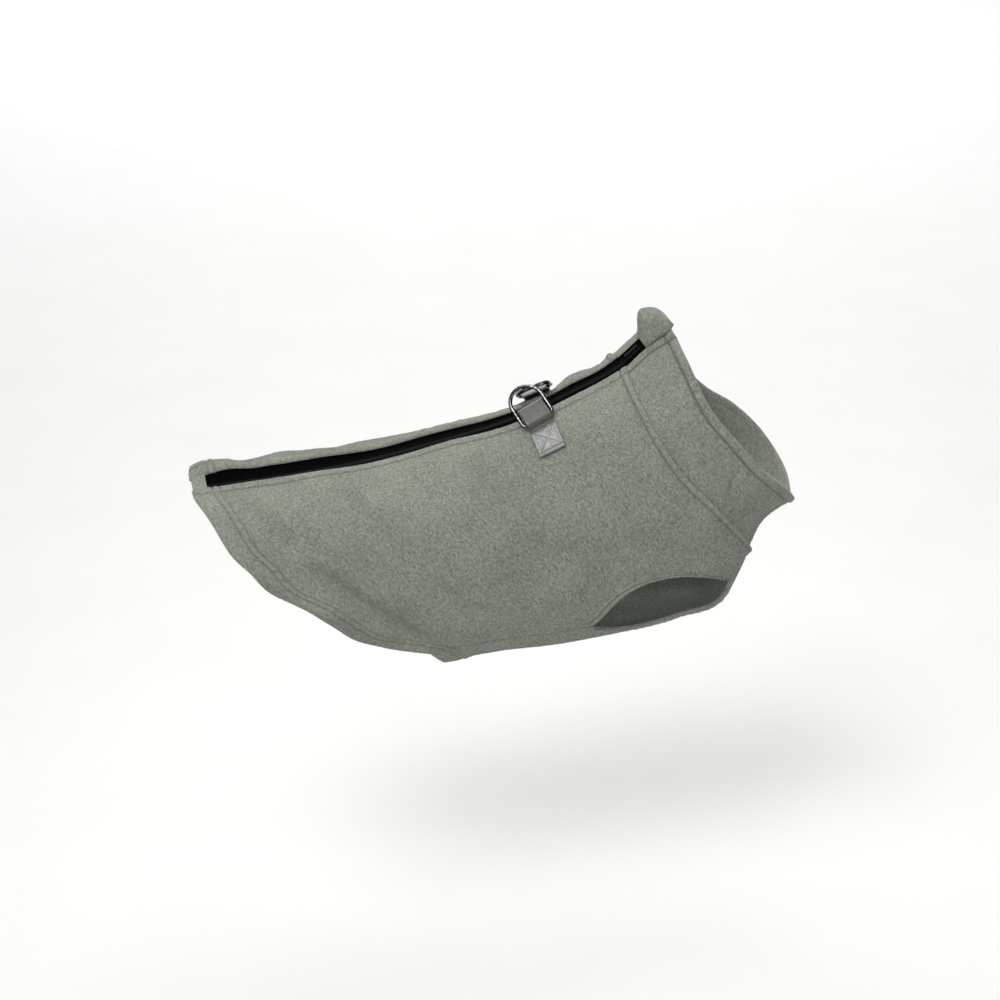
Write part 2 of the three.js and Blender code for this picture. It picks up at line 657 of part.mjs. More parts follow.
// Webbing tab: two layers sewn flat on the panel, open above the first stitch line round the ring's bar
function webTab(side) {
  const frame = tabFrame(side);
  const inner = WEB_LIFT + WEB_LAYER;
  const flatTop = WEB_LIFT + 2 * WEB_LAYER;
  const eyeTop = BAR_HEIGHT + RING_WIRE / 2 + BAR_CLEAR;
  const bump = eyeTop + WEB_LAYER;
  // Sewn length below the first stitch line: place along the tab and height of its top
  const flat = [
    { q: -TAB_LOWER, top: flatTop + 0.3 },
    { q: 1.4 - TAB_LOWER, top: flatTop + 0.5 },
    { q: -18, top: flatTop },
    { q: -14, top: flatTop },
    { q: -10, top: flatTop },
    { q: -6, top: flatTop },
    { q: -2, top: flatTop },
  ];
  // Fold above it: outside of the webbing and the eye inside it, once round from the bottom
  const fold = [
    { q: 0, out: WEB_LIFT, eyeQ: 1.8, eyeOut: inner },
    { q: 6, out: WEB_LIFT, eyeQ: 6, eyeOut: inner },
    { q: 12, out: WEB_LIFT, eyeQ: 12, eyeOut: inner },
    { q: LOOP_LENGTH - 0.6, out: WEB_LIFT + 0.2, eyeQ: LOOP_LENGTH - 1.5, eyeOut: inner + 0.1 },
    { q: LOOP_LENGTH, out: WEB_LIFT + 1.2, eyeQ: LOOP_LENGTH - 1.35, eyeOut: inner + 0.25 },
    { q: LOOP_LENGTH, out: WEB_LIFT + 2.2, eyeQ: LOOP_LENGTH - 1.35, eyeOut: inner + 0.45 },
    { q: LOOP_LENGTH - 0.6, out: WEB_LIFT + 3.2, eyeQ: LOOP_LENGTH - 1.5, eyeOut: inner + 0.6 },
    { q: 13, out: bump - 1.6, eyeQ: 13, eyeOut: eyeTop - 1.6 },
    { q: 9, out: bump - 0.6, eyeQ: 9, eyeOut: eyeTop - 0.6 },
    { q: 6.4, out: bump, eyeQ: 6.4, eyeOut: eyeTop },
    { q: 3.6, out: bump, eyeQ: 3.6, eyeOut: eyeTop },
    { q: 1.6, out: flatTop + 1.2, eyeQ: 2.2, eyeOut: flatTop + 0.4 },
    { q: 0, out: flatTop, eyeQ: 1.9, eyeOut: flatTop - 0.4 },
  ];
  const outline = flat.map(({ q }) => [q, WEB_LIFT]);
  fold.forEach(({ q, out }) => outline.push([q, out]));
  [...flat].reverse().forEach(({ q, top }) => outline.push([q, top]));
  const eye = fold.map(({ eyeQ, eyeOut }) => [eyeQ, eyeOut]);
  const around = outline.length;
  const count = around + eye.length;
  const steps = 4;
  const positions = [];
  for (let row = 0; row <= steps; row += 1) {
    const w = lerp(-WEB_WIDTH / 2, WEB_WIDTH / 2, row / steps);
    [...outline, ...eye].forEach(([q, out]) => {
      const p = q < 0 ? frame.lower(w, -q, out) : frame.origin.clone().addScaledVector(frame.along, w);
      if (q >= 0) p.addScaledVector(frame.loop, q).addScaledVector(frame.away, out);
      positions.push(p.x, p.y, p.z);
    });
  }
  const index = [];
  const quad = (a, b, c, d) => index.push(a, b, c, a, c, d);
  const walls = (first, length, turned) => {
    for (let row = 0; row < steps; row += 1) {
      for (let i = 0; i < length; i += 1) {
        const a = row * count + first + i;
        const b = row * count + first + ((i + 1) % length);
        if (turned) quad(b, a, a + count, b + count);
        else quad(a, b, b + count, a + count);
      }
    }
  };
  walls(0, around, false);
  walls(around, eye.length, true);
  const end = (row, turned) => {
    const face = (...corners) => {
      const placedCorners = corners.map((corner) => row * count + corner);
      quad(...(turned ? placedCorners.reverse() : placedCorners));
    };
    for (let i = 0; i < flat.length; i += 1) face(i, i + 1, around - 2 - i, around - 1 - i);
    for (let i = 0; i < fold.length - 1; i += 1) {
      face(flat.length + i, flat.length + i + 1, around + i + 1, around + i);
    }
    face(flat.length, around, count - 1, flat.length + fold.length - 1);
  };
  end(0, true);
  end(steps, false);
  const geometry = new THREE.BufferGeometry();
  geometry.setAttribute('position', new THREE.Float32BufferAttribute(positions, 3));
  geometry.setIndex(volume(positions, index) > 0 ? index : index.reverse());
  return geometry;
}

// D-ring: a straight bar, two legs and a half-round end, in one closed round wire
function ring(side) {
  const frame = tabFrame(side);
  const half = (RING_WIDTH - RING_WIRE) / 2;
  const tall = RING_HEIGHT - RING_WIRE;
  const points = [];
  const arc = (cx, cy, r, from, to, count) => {
    for (let i = 0; i <= count; i += 1) {
      const a = lerp(from, to, i / count) * RAD;
      points.push([cx + r * Math.cos(a), cy + r * Math.sin(a)]);
    }
  };
  for (const x of [-6, -3, 0, 3, 6]) points.push([x, 0]);
  arc(half - RING_CORNER, RING_CORNER, RING_CORNER, -90, 0, 4);
  for (const share of [0.33, 0.66]) points.push([half, lerp(RING_CORNER, tall - half, share)]);
  arc(0, tall - half, half, 0, 180, 16);
  for (const share of [0.66, 0.33]) points.push([-half, lerp(RING_CORNER, tall - half, share)]);
  arc(-half + RING_CORNER, RING_CORNER, RING_CORNER, 180, 270, 4);
  const sides = 8;
  const rows = points.map(([x, y], i) => {
    const before = points[(i + points.length - 1) % points.length];
    const after = points[(i + 1) % points.length];
    const t = new THREE.Vector2(after[0] - before[0], after[1] - before[1]).normalize();
    return Array.from({ length: sides }, (_, k) => {
      const a = (k / sides + 0.5 / sides) * 360 * RAD;
      const level = (RING_WIRE / 2) * Math.sin(a);
      const spread = (RING_WIRE / 2) * Math.cos(a);
      const p = frame.origin.clone().addScaledVector(frame.along, x + t.y * spread);
      p.addScaledVector(frame.loop, BAR_FROM_STITCH + y - t.x * spread);
      return p.addScaledVector(frame.away, BAR_HEIGHT + level);
    });
  });
  const positions = rows.flat().flatMap((p) => [p.x, p.y, p.z]);
  const index = [];
  rows.forEach((row, i) => {
    const next = (i + 1) % rows.length;
    row.forEach((_, k) => {
      const turn = (k + 1) % sides;
      const a = i * sides + k;
      const b = next * sides + k;
      const c = next * sides + turn;
      const d = i * sides + turn;
      index.push(a, b, c, a, c, d);
    });
  });
  const geometry = new THREE.BufferGeometry();
  geometry.setAttribute('position', new THREE.Float32BufferAttribute(positions, 3));
  geometry.setIndex(volume(positions, index) > 0 ? index : index.reverse());
  return geometry;
}

const fleece = () => finish('#8b9189', 0.95, 0);
const nylon = () => finish('#17181b', 0.6, 0);
const webbing = () => finish('#a9aca8', 0.55, 0);
const metal = () => finish('#4a4b50', 0.25, 1);

const group = new THREE.Group();
group.name = 'dog_fleece_vest';
group.add(part('back_right', sidePanel(-1), fleece()));
group.add(part('back_left', sidePanel(1), fleece()));
group.add(part('chest_belly', chestPanel(), fleece()));
group.add(part('collar', collar(), fleece()));
group.add(part('zip_tape_right', zipTape(-1), nylon()));
group.add(part('zip_tape_left', zipTape(1), nylon()));
group.add(part('zip_chain', zipChain(), nylon()));
group.add(part('zip_slider', zipSlider(), finish('#1c1c1f', 0.4, 0.6)));
group.add(part('zip_end_tab', zipEndTab(), fleece()));
group.add(part('zip_garage', zipGarage(), fleece()));
group.add(part('tab_right', webTab(-1), webbing()));
group.add(part('tab_left', webTab(1), webbing()));
group.add(part('ring_right', ring(-1), metal()));
group.add(part('ring_left', ring(1), metal()));

export default group;
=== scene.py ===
"""Sleeveless polar fleece vest for a small dog, in its worn shape.

The vest is cut from two side panels, a chest panel and a doubled collar. It closes with a black zip
along the back and carries a webbing tab with a D-ring on each side of the zip. Sizes are in
millimetres and become metres when a mesh is made. +X points to the head, +Y to the left, +Z up.
"""

from __future__ import annotations

import json
import logging
import math
from dataclasses import dataclass, field
from enum import Enum
from typing import Any, Callable, Sequence

import bpy
import numpy as np
from mathutils import Matrix, Vector

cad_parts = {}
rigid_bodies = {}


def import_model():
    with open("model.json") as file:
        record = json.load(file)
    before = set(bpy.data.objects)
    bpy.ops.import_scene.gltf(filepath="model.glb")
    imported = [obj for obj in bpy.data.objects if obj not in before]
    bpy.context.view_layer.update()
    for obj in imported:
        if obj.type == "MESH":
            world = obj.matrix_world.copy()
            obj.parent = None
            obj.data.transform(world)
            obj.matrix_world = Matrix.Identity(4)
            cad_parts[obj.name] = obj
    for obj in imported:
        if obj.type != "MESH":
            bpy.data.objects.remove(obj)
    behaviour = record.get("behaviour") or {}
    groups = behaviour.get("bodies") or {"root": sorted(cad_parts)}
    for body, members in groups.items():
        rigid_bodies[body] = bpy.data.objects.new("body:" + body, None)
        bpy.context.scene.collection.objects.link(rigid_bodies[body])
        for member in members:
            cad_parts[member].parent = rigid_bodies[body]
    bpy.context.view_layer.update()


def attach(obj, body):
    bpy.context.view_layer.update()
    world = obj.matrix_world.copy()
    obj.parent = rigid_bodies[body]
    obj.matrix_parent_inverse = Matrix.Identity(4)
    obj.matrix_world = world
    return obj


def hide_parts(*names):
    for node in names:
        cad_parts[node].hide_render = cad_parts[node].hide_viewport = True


LOG = logging.getLogger("fleece_vest")
MM = 0.001
RAD = math.pi / 180
ARC = 1.45
CLOTH = 2.2
TAU = 2 * math.pi

Rows = list[dict[str, float]]
Array = np.ndarray


def table(columns: str, *rows: Sequence[float]) -> Rows:
    """Turn rows of numbers into a table with named columns.

    Args:
        columns: The column names, parted by blanks.
        rows: One sequence of numbers for each row.

    Returns:
        One dictionary for each row.
    """
    names = columns.split()
    return [dict(zip(names, row)) for row in rows]


SECTIONS = table(
    "s top lean tall half wide crown keel",
    (-250, -37.5, 1, 148, 60, 0.45, 3.0, 2.2),
    (-190, -34.0, 2, 153, 64, 0.45, 2.8, 2.2),
    (-130, -28.0, 4, 157, 67, 0.46, 2.5, 2.2),
    (-70, -16.5, 7, 163, 69, 0.47, 2.3, 2.2),
    (-20, -4.5, 13, 175, 69, 0.48, 2.12, 2.2),
    (25, 13.5, 22.5, 192, 66, 0.48, 2.0, 2.2),
    (45, 22.5, 27, 196, 62, 0.475, 2.0, 2.2),
    (57, 29.5, 31.5, 178, 58, 0.49, 2.0, 2.1),
    (72, 42.5, 32.5, 166, 53, 0.5, 2.0, 2.1),
    (88, 56.5, 35.5, 169, 50, 0.49, 2.0, 2.1),
    (104, 71, 38, 172, 48, 0.48, 2.0, 2.1),
)
HEM = table(
    "phi s", (0, -243), (10, -242.6), (20, -241), (36, -234), (55, -224), (67, -212), (80, -200),
    (93, -177), (105, -163), (117, -149), (124, -133), (132, -114), (138, -101),
)
NECK = table(
    "phi s", (0, 60), (5, 58), (20, 54.5), (40, 52), (60, 52), (80, 53.5), (100, 56),
    (120, 58), (143, 60), (180, 60),
)
RIM = table(
    "phi right left", (0, 88.5, 89.5), (20, 86, 86.5), (50, 81, 84), (90, 82, 86), (120, 83.5, 92),
    (150, 87, 94), (164, 87.6, 92.4), (180, 88, 88),
)
ZIP_EDGE = table(
    "s right left", (-245, 8.0, 8.0), (-231, 7.8, 9.8), (-205, 8.8, 11.6), (-176, 8.8, 11.8),
    (-150, 8.0, 12.2), (-121, 9.2, 12.0), (-90, 9.0, 12.6), (-65, 7.8, 12.8), (-37, 10.2, 12.0),
    (4, 9.8, 12.4), (33, 8.6, 12.8), (60, 7.6, 12.4), (95, 7.4, 11.6),
)
SIDE_SEAM = table("s phi", (-101, 138), (-78, 136.6), (-50, 136.4), (-12, 140))
ARM_TOP = table(
    "s phi", (-12, 140), (-7, 135.5), (1, 127), (9, 122.3), (18, 121.5), (27, 124.5), (36, 130),
    (44, 140), (49, 155),
)
ARM_LOW = table(
    "s phi", (-12, 140), (-5, 147), (6, 153.5), (20, 158), (34, 160.5), (43, 160.5), (49, 155),
)
CHEST_SEAM = table("s phi", (49, 155), (54, 150), (60, 143))
BELLY_HEM = table("s phi", (-101, 138), (-94, 150), (-89, 165), (-87, 180))

# Large soft folds, the same as in the solids. side 0 is both sides
FOLDS = table(
    "side s1 phi1 s2 phi2 spread rise",
    (-1, -206, 16, -182, 62, 9, 1.1),
    (-1, -184, 12, -150, 56, 8, -1.7),
    (-1, -164, 12, -126, 50, 8, 1.5),
    (-1, -146, 14, -112, 40, 7, -1.0),
    (-1, -120, 52, -88, 112, 15, -2.4),
    (-1, -92, 44, -60, 100, 14, 1.5),
    (-1, -170, 98, -100, 131, 6, -2.0),
    (-1, -186, 82, -112, 124, 9, 1.2),
    (-1, -46, 66, -6, 104, 12, -1.8),
    (-1, -30, 112, 6, 84, 9, 1.2),
    (-1, 18, 112, 28, 62, 10, -1.3),
    (-1, 56, 120, 80, 104, 5, -1.5),
    (-1, 60, 134, 84, 122, 6, 1.0),
    (1, -262, 26, -70, 24, 17, 4.4),
    (1, -212, 14, -176, 70, 10, -1.5),
    (1, -190, 12, -158, 46, 8, 1.4),
    (1, -150, 14, -108, 58, 9, -1.6),
    (1, -132, 66, -84, 118, 14, 1.7),
    (1, -108, 58, -62, 114, 13, -2.2),
    (1, -176, 94, -106, 130, 7, -1.8),
    (1, -52, 78, -14, 112, 11, -1.7),
    (1, -24, 100, 14, 74, 10, 1.3),
    (1, 22, 108, 34, 56, 9, -1.2),
    (1, 58, 96, 86, 112, 6, -1.4),
    (0, -80, 150, -30, 166, 9, -1.2),
)
# Small creases that only the fine surface shows, listed like the folds above
CREASES = table(
    "side s1 phi1 s2 phi2 spread rise",
    (-1, -222, 14, -206, 34, 4.5, -1.26),
    (-1, -214, 40, -196, 58, 5, 1.08),
    (-1, -196, 30, -176, 72, 4, -1.08),
    (-1, -176, 70, -150, 96, 5, 1.26),
    (-1, -152, 52, -128, 84, 5, -1.26),
    (-1, -138, 84, -112, 104, 6, 1.44),
    (-1, -104, 20, -86, 44, 5, -0.9),
    (-1, -100, 84, -70, 118, 5, -1.44),
    (-1, -76, 20, -52, 48, 6, 1.08),
    (-1, -70, 100, -42, 124, 6, 1.26),
    (-1, -58, 54, -34, 78, 6, -1.26),
    (-1, -20, 44, -6, 70, 6, 0.9),
    (-1, 2, 40, 10, 66, 6, -1.08),
    (-1, 30, 30, 38, 52, 5, 0.9),
    (-1, 0, 96, 12, 110, 4, -1.08),
    (-1, 36, 96, 42, 116, 4, 1.26),
    (-1, 62, 62, 70, 92, 5, 0.9),
    (-1, 66, 150, 84, 168, 5, -1.26),
    (1, -224, 40, -206, 62, 5, 1.26),
    (1, -200, 74, -178, 92, 5, -1.26),
    (1, -168, 58, -144, 88, 5, 1.26),
    (1, -138, 40, -120, 62, 4, -0.9),
    (1, -118, 92, -92, 122, 5, 1.44),
    (1, -84, 46, -56, 70, 6, -1.08),
    (1, -72, 96, -48, 126, 6, 1.26),
    (1, -40, 44, -20, 66, 6, 1.08),
    (1, -6, 46, 8, 72, 6, -1.08),
    (1, 30, 40, 40, 66, 5, 0.9),
    (1, 4, 98, 14, 112, 4, -1.08),
    (1, 64, 60, 74, 90, 5, 0.9),
    (1, 66, 150, 84, 168, 5, -1.26),
    (1, -244, 15, -206, 15, 11, 7.0),
    (1, -236, 11, -104, 12, 8, 3.0),
    (-1, -236, 8, -130, 9, 7, 1.6),
    (1, -110, 14, -24, 14, 8, 1.8),
    (1, 19, 15, 40, 15, 7.5, 4.6),
    (1, 42, 14, 92, 14, 9, 4.6),
    (-1, 82, 12, 100, 12, 9, -5.4),
    (-1, -176, 64, -132, 104, 7, -5.4),
    (-1, -142, 94, -94, 133, 6, -4.6),
    (-1, -216, 60, -142, 110, 9, 3.4),
    (-1, -150, 16, -130, 50, 6, -5.0),
    (-1, -138, 20, -118, 52, 6, 3.0),
    (-1, -208, 26, -182, 60, 7, -3.8),
    (-1, -66, 20, -44, 66, 8, -3.0),
    (-1, -196, 78, -104, 134, 7, 2.8),
    (1, -190, 80, -104, 134, 7, 2.2),
    (0, -70, 172, -40, 176, 7, 1.08),
    (0, -10, 166, 14, 172, 6, -1.26),
    (0, 24, 168, 44, 174, 6, 1.08),
)


def smooth(x: Array, low: float, high: float) -> Array:
    """Return a soft step from 0 at low to 1 at high."""
    t = np.clip((np.asarray(x, float) - low) / (high - low), 0, 1)
    return t * t * (3 - 2 * t)


def unit(v: Array) -> Array:
    """Return vectors of length 1."""
    return v / np.linalg.norm(v, axis=-1, keepdims=True)


def spline(rows: Rows, key: str, x: Array, by: str = "s") -> Array:
    """Read one column of a table along a smooth curve.

    Args:
        rows: The table.
        key: The column that is read.
        x: Where it is read, in the unit of the column named by `by`.
        by: The column that the curve runs along.

    Returns:
        The value at each place.
    """
    xs = np.array([row[by] for row in rows], float)
    ys = np.array([row[key] for row in rows], float)
    step = np.diff(xs)
    slope = np.diff(ys) / step
    tangent = np.concatenate((
        slope[:1], (slope[:-1] * step[1:] + slope[1:] * step[:-1]) / (step[:-1] + step[1:]), slope[-1:],
    ))
    x = np.asarray(x, float)
    i = np.clip(np.searchsorted(xs, x, side="left") - 1, 0, len(xs) - 2)
    t = (x - xs[i]) / step[i]
    return (
        (2 * t**3 - 3 * t**2 + 1) * ys[i]
        + (t**3 - 2 * t**2 + t) * step[i] * tangent[i]
        + (3 * t**2 - 2 * t**3) * ys[i + 1]
        + (t**3 - t**2) * step[i] * tangent[i + 1]
    )


@dataclass(frozen=True)
class WornForm:
    """Hollow form of the worn vest: a body of squared ovals along the back line.

    s runs along the back line and phi round the body in degrees, minus on the right side.
    """

    sections: tuple = tuple(SECTIONS)
    folds: tuple = tuple(FOLDS) + tuple(CREASES)

    def point(self, s: Array, phi: Array) -> Array:
        """Return points of the smooth outer side without folds."""
        s, phi = np.broadcast_arrays(np.asarray(s, float), np.asarray(phi, float))
        rows = list(self.sections)
        at = {key: spline(rows, key, s) for key in ("top", "lean", "tall", "half", "wide", "crown", "keel")}
        lean = at["lean"] * RAD
        up, down = at["tall"] * at["wide"], at["tall"] * (1 - at["wide"])
        cos, sin = np.cos(phi * RAD), np.sin(phi * RAD)
        mix = 0.5 + 0.5 * np.clip(cos * 3, -1, 1)
        power = at["keel"] + (at["crown"] - at["keel"]) * mix
        reach = np.where(cos > 0, up, down)
        r = ((np.abs(sin) / at["half"]) ** power + (np.abs(cos) / reach) ** power) ** (-1 / power)
        drop = up - r * cos
        return np.stack((s + drop * np.sin(lean), r * sin, at["top"] - drop * np.cos(lean)), -1)

    def normal(self, s: Array, phi: Array) -> Array:
        """Return outward unit normals of the smooth form."""
        s, phi = np.asarray(s, float), np.asarray(phi, float)
        along = self.point(s + 0.5, phi) - self.point(s - 0.5, phi)
        around = self.point(s, phi + 0.3) - self.point(s, phi - 0.3)
        return unit(np.cross(along, around))

    def fold(self, s: Array, phi: Array) -> Array:
        """Return the height of all folds and creases at a place."""
        s, phi = np.broadcast_arrays(np.asarray(s, float), np.asarray(phi, float))
        side = np.sign(phi)
        total = np.zeros(s.shape)
        for f in self.folds:
            ds, da = f["s2"] - f["s1"], (f["phi2"] - f["phi1"]) * ARC
            length = math.hypot(ds, da)
            ps, pa = s - f["s1"], (np.abs(phi) - f["phi1"]) * ARC
            along = (ps * ds + pa * da) / length
            across = (ps * da - pa * ds) / length
            ends = smooth(along, -f["spread"], length * 0.35)
            ends = ends * (1 - smooth(along, length * 0.6, length + f["spread"]))
            bump = f["rise"] * np.exp(-((across / f["spread"]) ** 2)) * ends
            total += np.where((f["side"] == 0) | (f["side"] == side), bump, 0)
        return total

    def cloth(self, s: Array, phi: Array, out: Array = 0.0) -> Array:
        """Return points on the cloth, moved out by the given height."""
        lift = self.fold(s, phi) + np.asarray(out, float)
        return self.point(s, phi) + self.normal(s, phi) * lift[..., None]

    def angle_at(self, s: Array, y: Array) -> Array:
        """Return the angle at which the back lies y to the side."""
        rows = list(self.sections)
        up = spline(rows, "tall", s) * spline(rows, "wide", s)
        return np.arcsin(np.asarray(y, float) / up) / RAD


FORM = WornForm()


def trace(rows: Rows, shares: Sequence[float]) -> Array:
    """Return (s, phi) at the given shares of the smooth line through a table's points."""
    knots = np.array([(row["s"], row["phi"] * ARC) for row in rows], float)
    n = len(knots)
    p = np.linspace(0, n - 1, 60 * (n - 1) + 1)
    i = np.minimum(p.astype(int), n - 2)
    t = (p - i)[:, None]
    p0, p1 = knots[np.maximum(i - 1, 0)], knots[i]
    p2, p3 = knots[i + 1], knots[np.minimum(i + 2, n - 1)]
    v0, v1 = (p2 - p0) / 2, (p3 - p1) / 2
    curve = (2 * p1 - 2 * p2 + v0 + v1) * t**3 + (3 * p2 - 3 * p1 - 2 * v0 - v1) * t**2 + v0 * t + p1
    length = np.concatenate(([0], np.cumsum(np.linalg.norm(np.diff(curve, axis=0), axis=1))))
    want = np.asarray(shares, float) * length[-1]
    return np.stack((np.interp(want, length, curve[:, 0]), np.interp(want, length, curve[:, 1]) / ARC), -1)


def reach_of(line: Array) -> Array:
    """Return the share of its length that each point of an (s, phi) line has covered."""
    step = np.hypot(np.diff(line[:, 0]), np.diff(line[:, 1]) * ARC)
    total = np.concatenate(([0], np.cumsum(step)))
    return total / total[-1]


def fill(top: Array, low: Array, rear: Array, front: Array) -> Array:
    """Fill four edges that share their corners with a grid of (s, phi).

    Args:
        top: First edge along the body.
        low: Edge opposite to it.
        rear: Edge round the body that joins their first points.
        front: Edge round the body that joins their last points.

    Returns:
        An array of rows along the body, columns round it and (s, phi).
    """
    n, m = len(top), len(rear)
    u = np.linspace(0, 1, n)[:, None]
    reach = reach_of(rear)[None, :] * (1 - u) + reach_of(front)[None, :] * u
    along = reach_of(top)[:, None] * (1 - reach) + reach_of(low)[:, None] * reach
    reach, along = reach[..., None], along[..., None]
    ruled = top[:, None] * (1 - reach) + low[:, None] * reach
    ruled = ruled + rear[None, :] * (1 - along) + front[None, :] * along
    near_top = top[0] * (1 - along) + top[-1] * along
    near_low = low[0] * (1 - along) + low[-1] * along
    return ruled - (near_top * (1 - reach) + near_low * reach)


# Distances of the fine grid lines from an edge, dense where its stitches lie
PLACKET_STEPS = (0.25, 0.6, 1.1, 1.7, 2.4, 3.0, 3.6, 4.1, 4.6, 5.1, 5.6, 6.2, 6.8, 7.3, 7.8, 8.3, 8.9, 9.8)
RIM_STEPS = (0.25, 0.6, 1.1, 1.7, 2.5, 3.4, 4.3, 5.1, 5.7, 6.2, 6.6, 7.0, 7.5, 8.2, 9.2)
HEM_STEPS = (
    0.25, 0.6, 1.1, 1.7, 2.5, 3.5, 4.6, 5.7, 6.5, 7.1, 7.7, 8.4, 9.4, 10.6, 11.6, 12.3, 12.9, 13.4, 13.9,
    14.4, 14.9, 15.5, 16.2, 16.9, 17.5, 18.0, 18.5, 19.1, 20.0, 21.2,
)


def fitted(length: float, count: int, start: tuple[float, ...], stop: tuple[float, ...]) -> Array:
    """Return shares of an edge with fine steps at its ends and a given number of points.

    Args:
        length: Length of the edge in millimetres.
        count: Number of points.
        start: Distances of the first lines from the first end in millimetres.
        stop: Distances of the last lines from the last end in millimetres.

    Returns:
        Shares from 0 to 1.
    """
    first, last = np.array((0.0, *start)), np.array((0.0, *stop))
    inner = np.linspace(first[-1], length - last[-1], count - len(first) - len(last) + 2)[1:-1]
    return np.concatenate((first, inner, length - last[::-1])) / length


def spaced(length: float, cell: float, start: tuple[float, ...], stop: tuple[float, ...]) -> Array:
    """Return shares of an edge with fine steps at its ends and middle steps of about the cell."""
    middle = length - sum(steps[-1] for steps in (start, stop) if steps)
    return fitted(length, len(start) + len(stop) + 1 + max(2, round(middle / cell)), start, stop)


def zip_angle(s: Array, side: str) -> Array:
    """Return the angle of the zip opening's edge on the right or left side."""
    return FORM.angle_at(s, spline(ZIP_EDGE, side, s))


def link(name: str, mesh: bpy.types.Mesh, material: bpy.types.Material) -> bpy.types.Object:
    """Put a mesh into the scene as an object at the origin with one material."""
    mesh.materials.clear()
    mesh.materials.append(material)
    obj = bpy.data.objects.new(name, mesh)
    bpy.context.collection.objects.link(obj)
    return obj


def mesh_of(name: str, points: Array, faces: Sequence[Sequence[int]], flat: bool = False) -> bpy.types.Mesh:
    """Make a mesh in metres from points in millimetres.

    Args:
        name: Name of the mesh.
        points: Corner positions in millimetres.
        faces: Corner numbers of each face.
        flat: Whether the faces are shaded flat.

    Returns:
        The mesh.
    """
    mesh = bpy.data.meshes.new(name)
    mesh.from_pydata((np.asarray(points, float).reshape(-1, 3) * MM).tolist(), [], [list(f) for f in faces])
    mesh.polygons.foreach_set("use_smooth", [not flat] * len(mesh.polygons))
    mesh.update()
    return mesh


def outward(points: Array, faces: list[tuple[int, ...]]) -> list[tuple[int, ...]]:
    """Return the faces turned so that a closed mesh faces outwards."""
    p = np.asarray(points, float).reshape(-1, 3)
    p = p - p.mean(0)
    quads = np.array([f if len(f) == 4 else (*f, f[-1]) for f in faces])
    a, b, c, d = (p[quads[:, k]] for k in range(4))
    volume = np.einsum("ij,ij->i", a, np.cross(b, c)).sum() + np.einsum("ij,ij->i", a, np.cross(c, d)).sum()
    return faces if volume > 0 else [tuple(reversed(f)) for f in faces]


def shell_faces(n: int, m: int) -> list[tuple[int, ...]]:
    """Return the faces of a closed body between two grids of n rows and m columns."""
    i, j = np.meshgrid(np.arange(n - 1), np.arange(m - 1), indexing="ij")
    a = (i * m + j).ravel()
    under = n * m
    faces = [(k, k + m, k + m + 1, k + 1) for k in a]
    faces += [(under + k, under + k + 1, under + k + m + 1, under + k + m) for k in a]
    for k in range(n - 1):
        left, right = k * m, k * m + m - 1
        faces.append((left, under + left, under + left + m, left + m))
        faces.append((right, right + m, under + right + m, under + right))
    for k in range(m - 1):
        last = (n - 1) * m + k
        faces.append((k, k + 1, under + k + 1, under + k))
        faces.append((last, under + last, under + last + 1, last + 1))
    return faces


# Materials


def linear(code: str) -> tuple[float, float, float, float]:
    """Turn an sRGB hex colour into Blender's linear colour."""
    parts = [int(code[i : i + 2], 16) / 255 for i in (1, 3, 5)]
    return (*(c / 12.92 if c <= 0.04045 else ((c + 0.055) / 1.055) ** 2.4 for c in parts), 1.0)


def per_mm(size: float) -> float:
    """Return a texture scale for metres whose cells are about the given millimetres."""
    return 1000 / size


class Recipe:
    """A material under construction, with one method that adds a node."""

    def __init__(self, name: str) -> None:
        """Start an empty material with a surface shader and its output."""
        self.material = bpy.data.materials.new(name)
        self.material.use_nodes = True
        self.tree = self.material.node_tree
        self.tree.nodes.clear()
        self.shader = self.add("ShaderNodeBsdfPrincipled")
        self.add("ShaderNodeOutputMaterial", links={"Surface": self.shader.outputs[0]})

    def add(self, kind: str, links: dict[Any, Any] | None = None, **settings: Any) -> bpy.types.Node:
        """Add a node with its settings and links.

        Args:
            kind: Blender's name of the node type.
            links: Input socket name or number to the output socket that feeds it.
            settings: Node properties, or input values as in_NAME or in_NUMBER.

        Returns:
            The node.
        """
        node = self.tree.nodes.new(kind)
        for key, value in settings.items():
            if key.startswith("in_"):
                tag = key[3:]
                node.inputs[int(tag) if tag.isdigit() else tag.replace("_", " ")].default_value = value
            else:
                setattr(node, key, value)
        for socket, source in (links or {}).items():
            self.tree.links.new(source, node.inputs[socket])
        return node

    def ramp(self, source: Any, *stops: tuple[float, str]) -> Any:
        """Add a colour ramp between (place, hex colour) stops and return its colour output."""
        node = self.add("ShaderNodeValToRGB", links={"Fac": source})
        elements = node.color_ramp.elements
        for i, (place, colour) in enumerate(stops):
            element = elements[i] if i < 2 else elements.new(place)
            element.position = place
            element.color = linear(colour)
        return node.outputs["Color"]

    def finish(self, colour: Any = None, bump: Any = None, **values: Any) -> bpy.types.Material:
        """Set the shader's constants, link its colour and normal, and return the material."""
        for key, value in values.items():
            self.shader.inputs[key.replace("_", " ")].default_value = value
        if colour is not None:
            self.tree.links.new(colour, self.shader.inputs["Base Color"])
        if bump is not None:
            self.tree.links.new(bump, self.shader.inputs["Normal"])
        return self.material


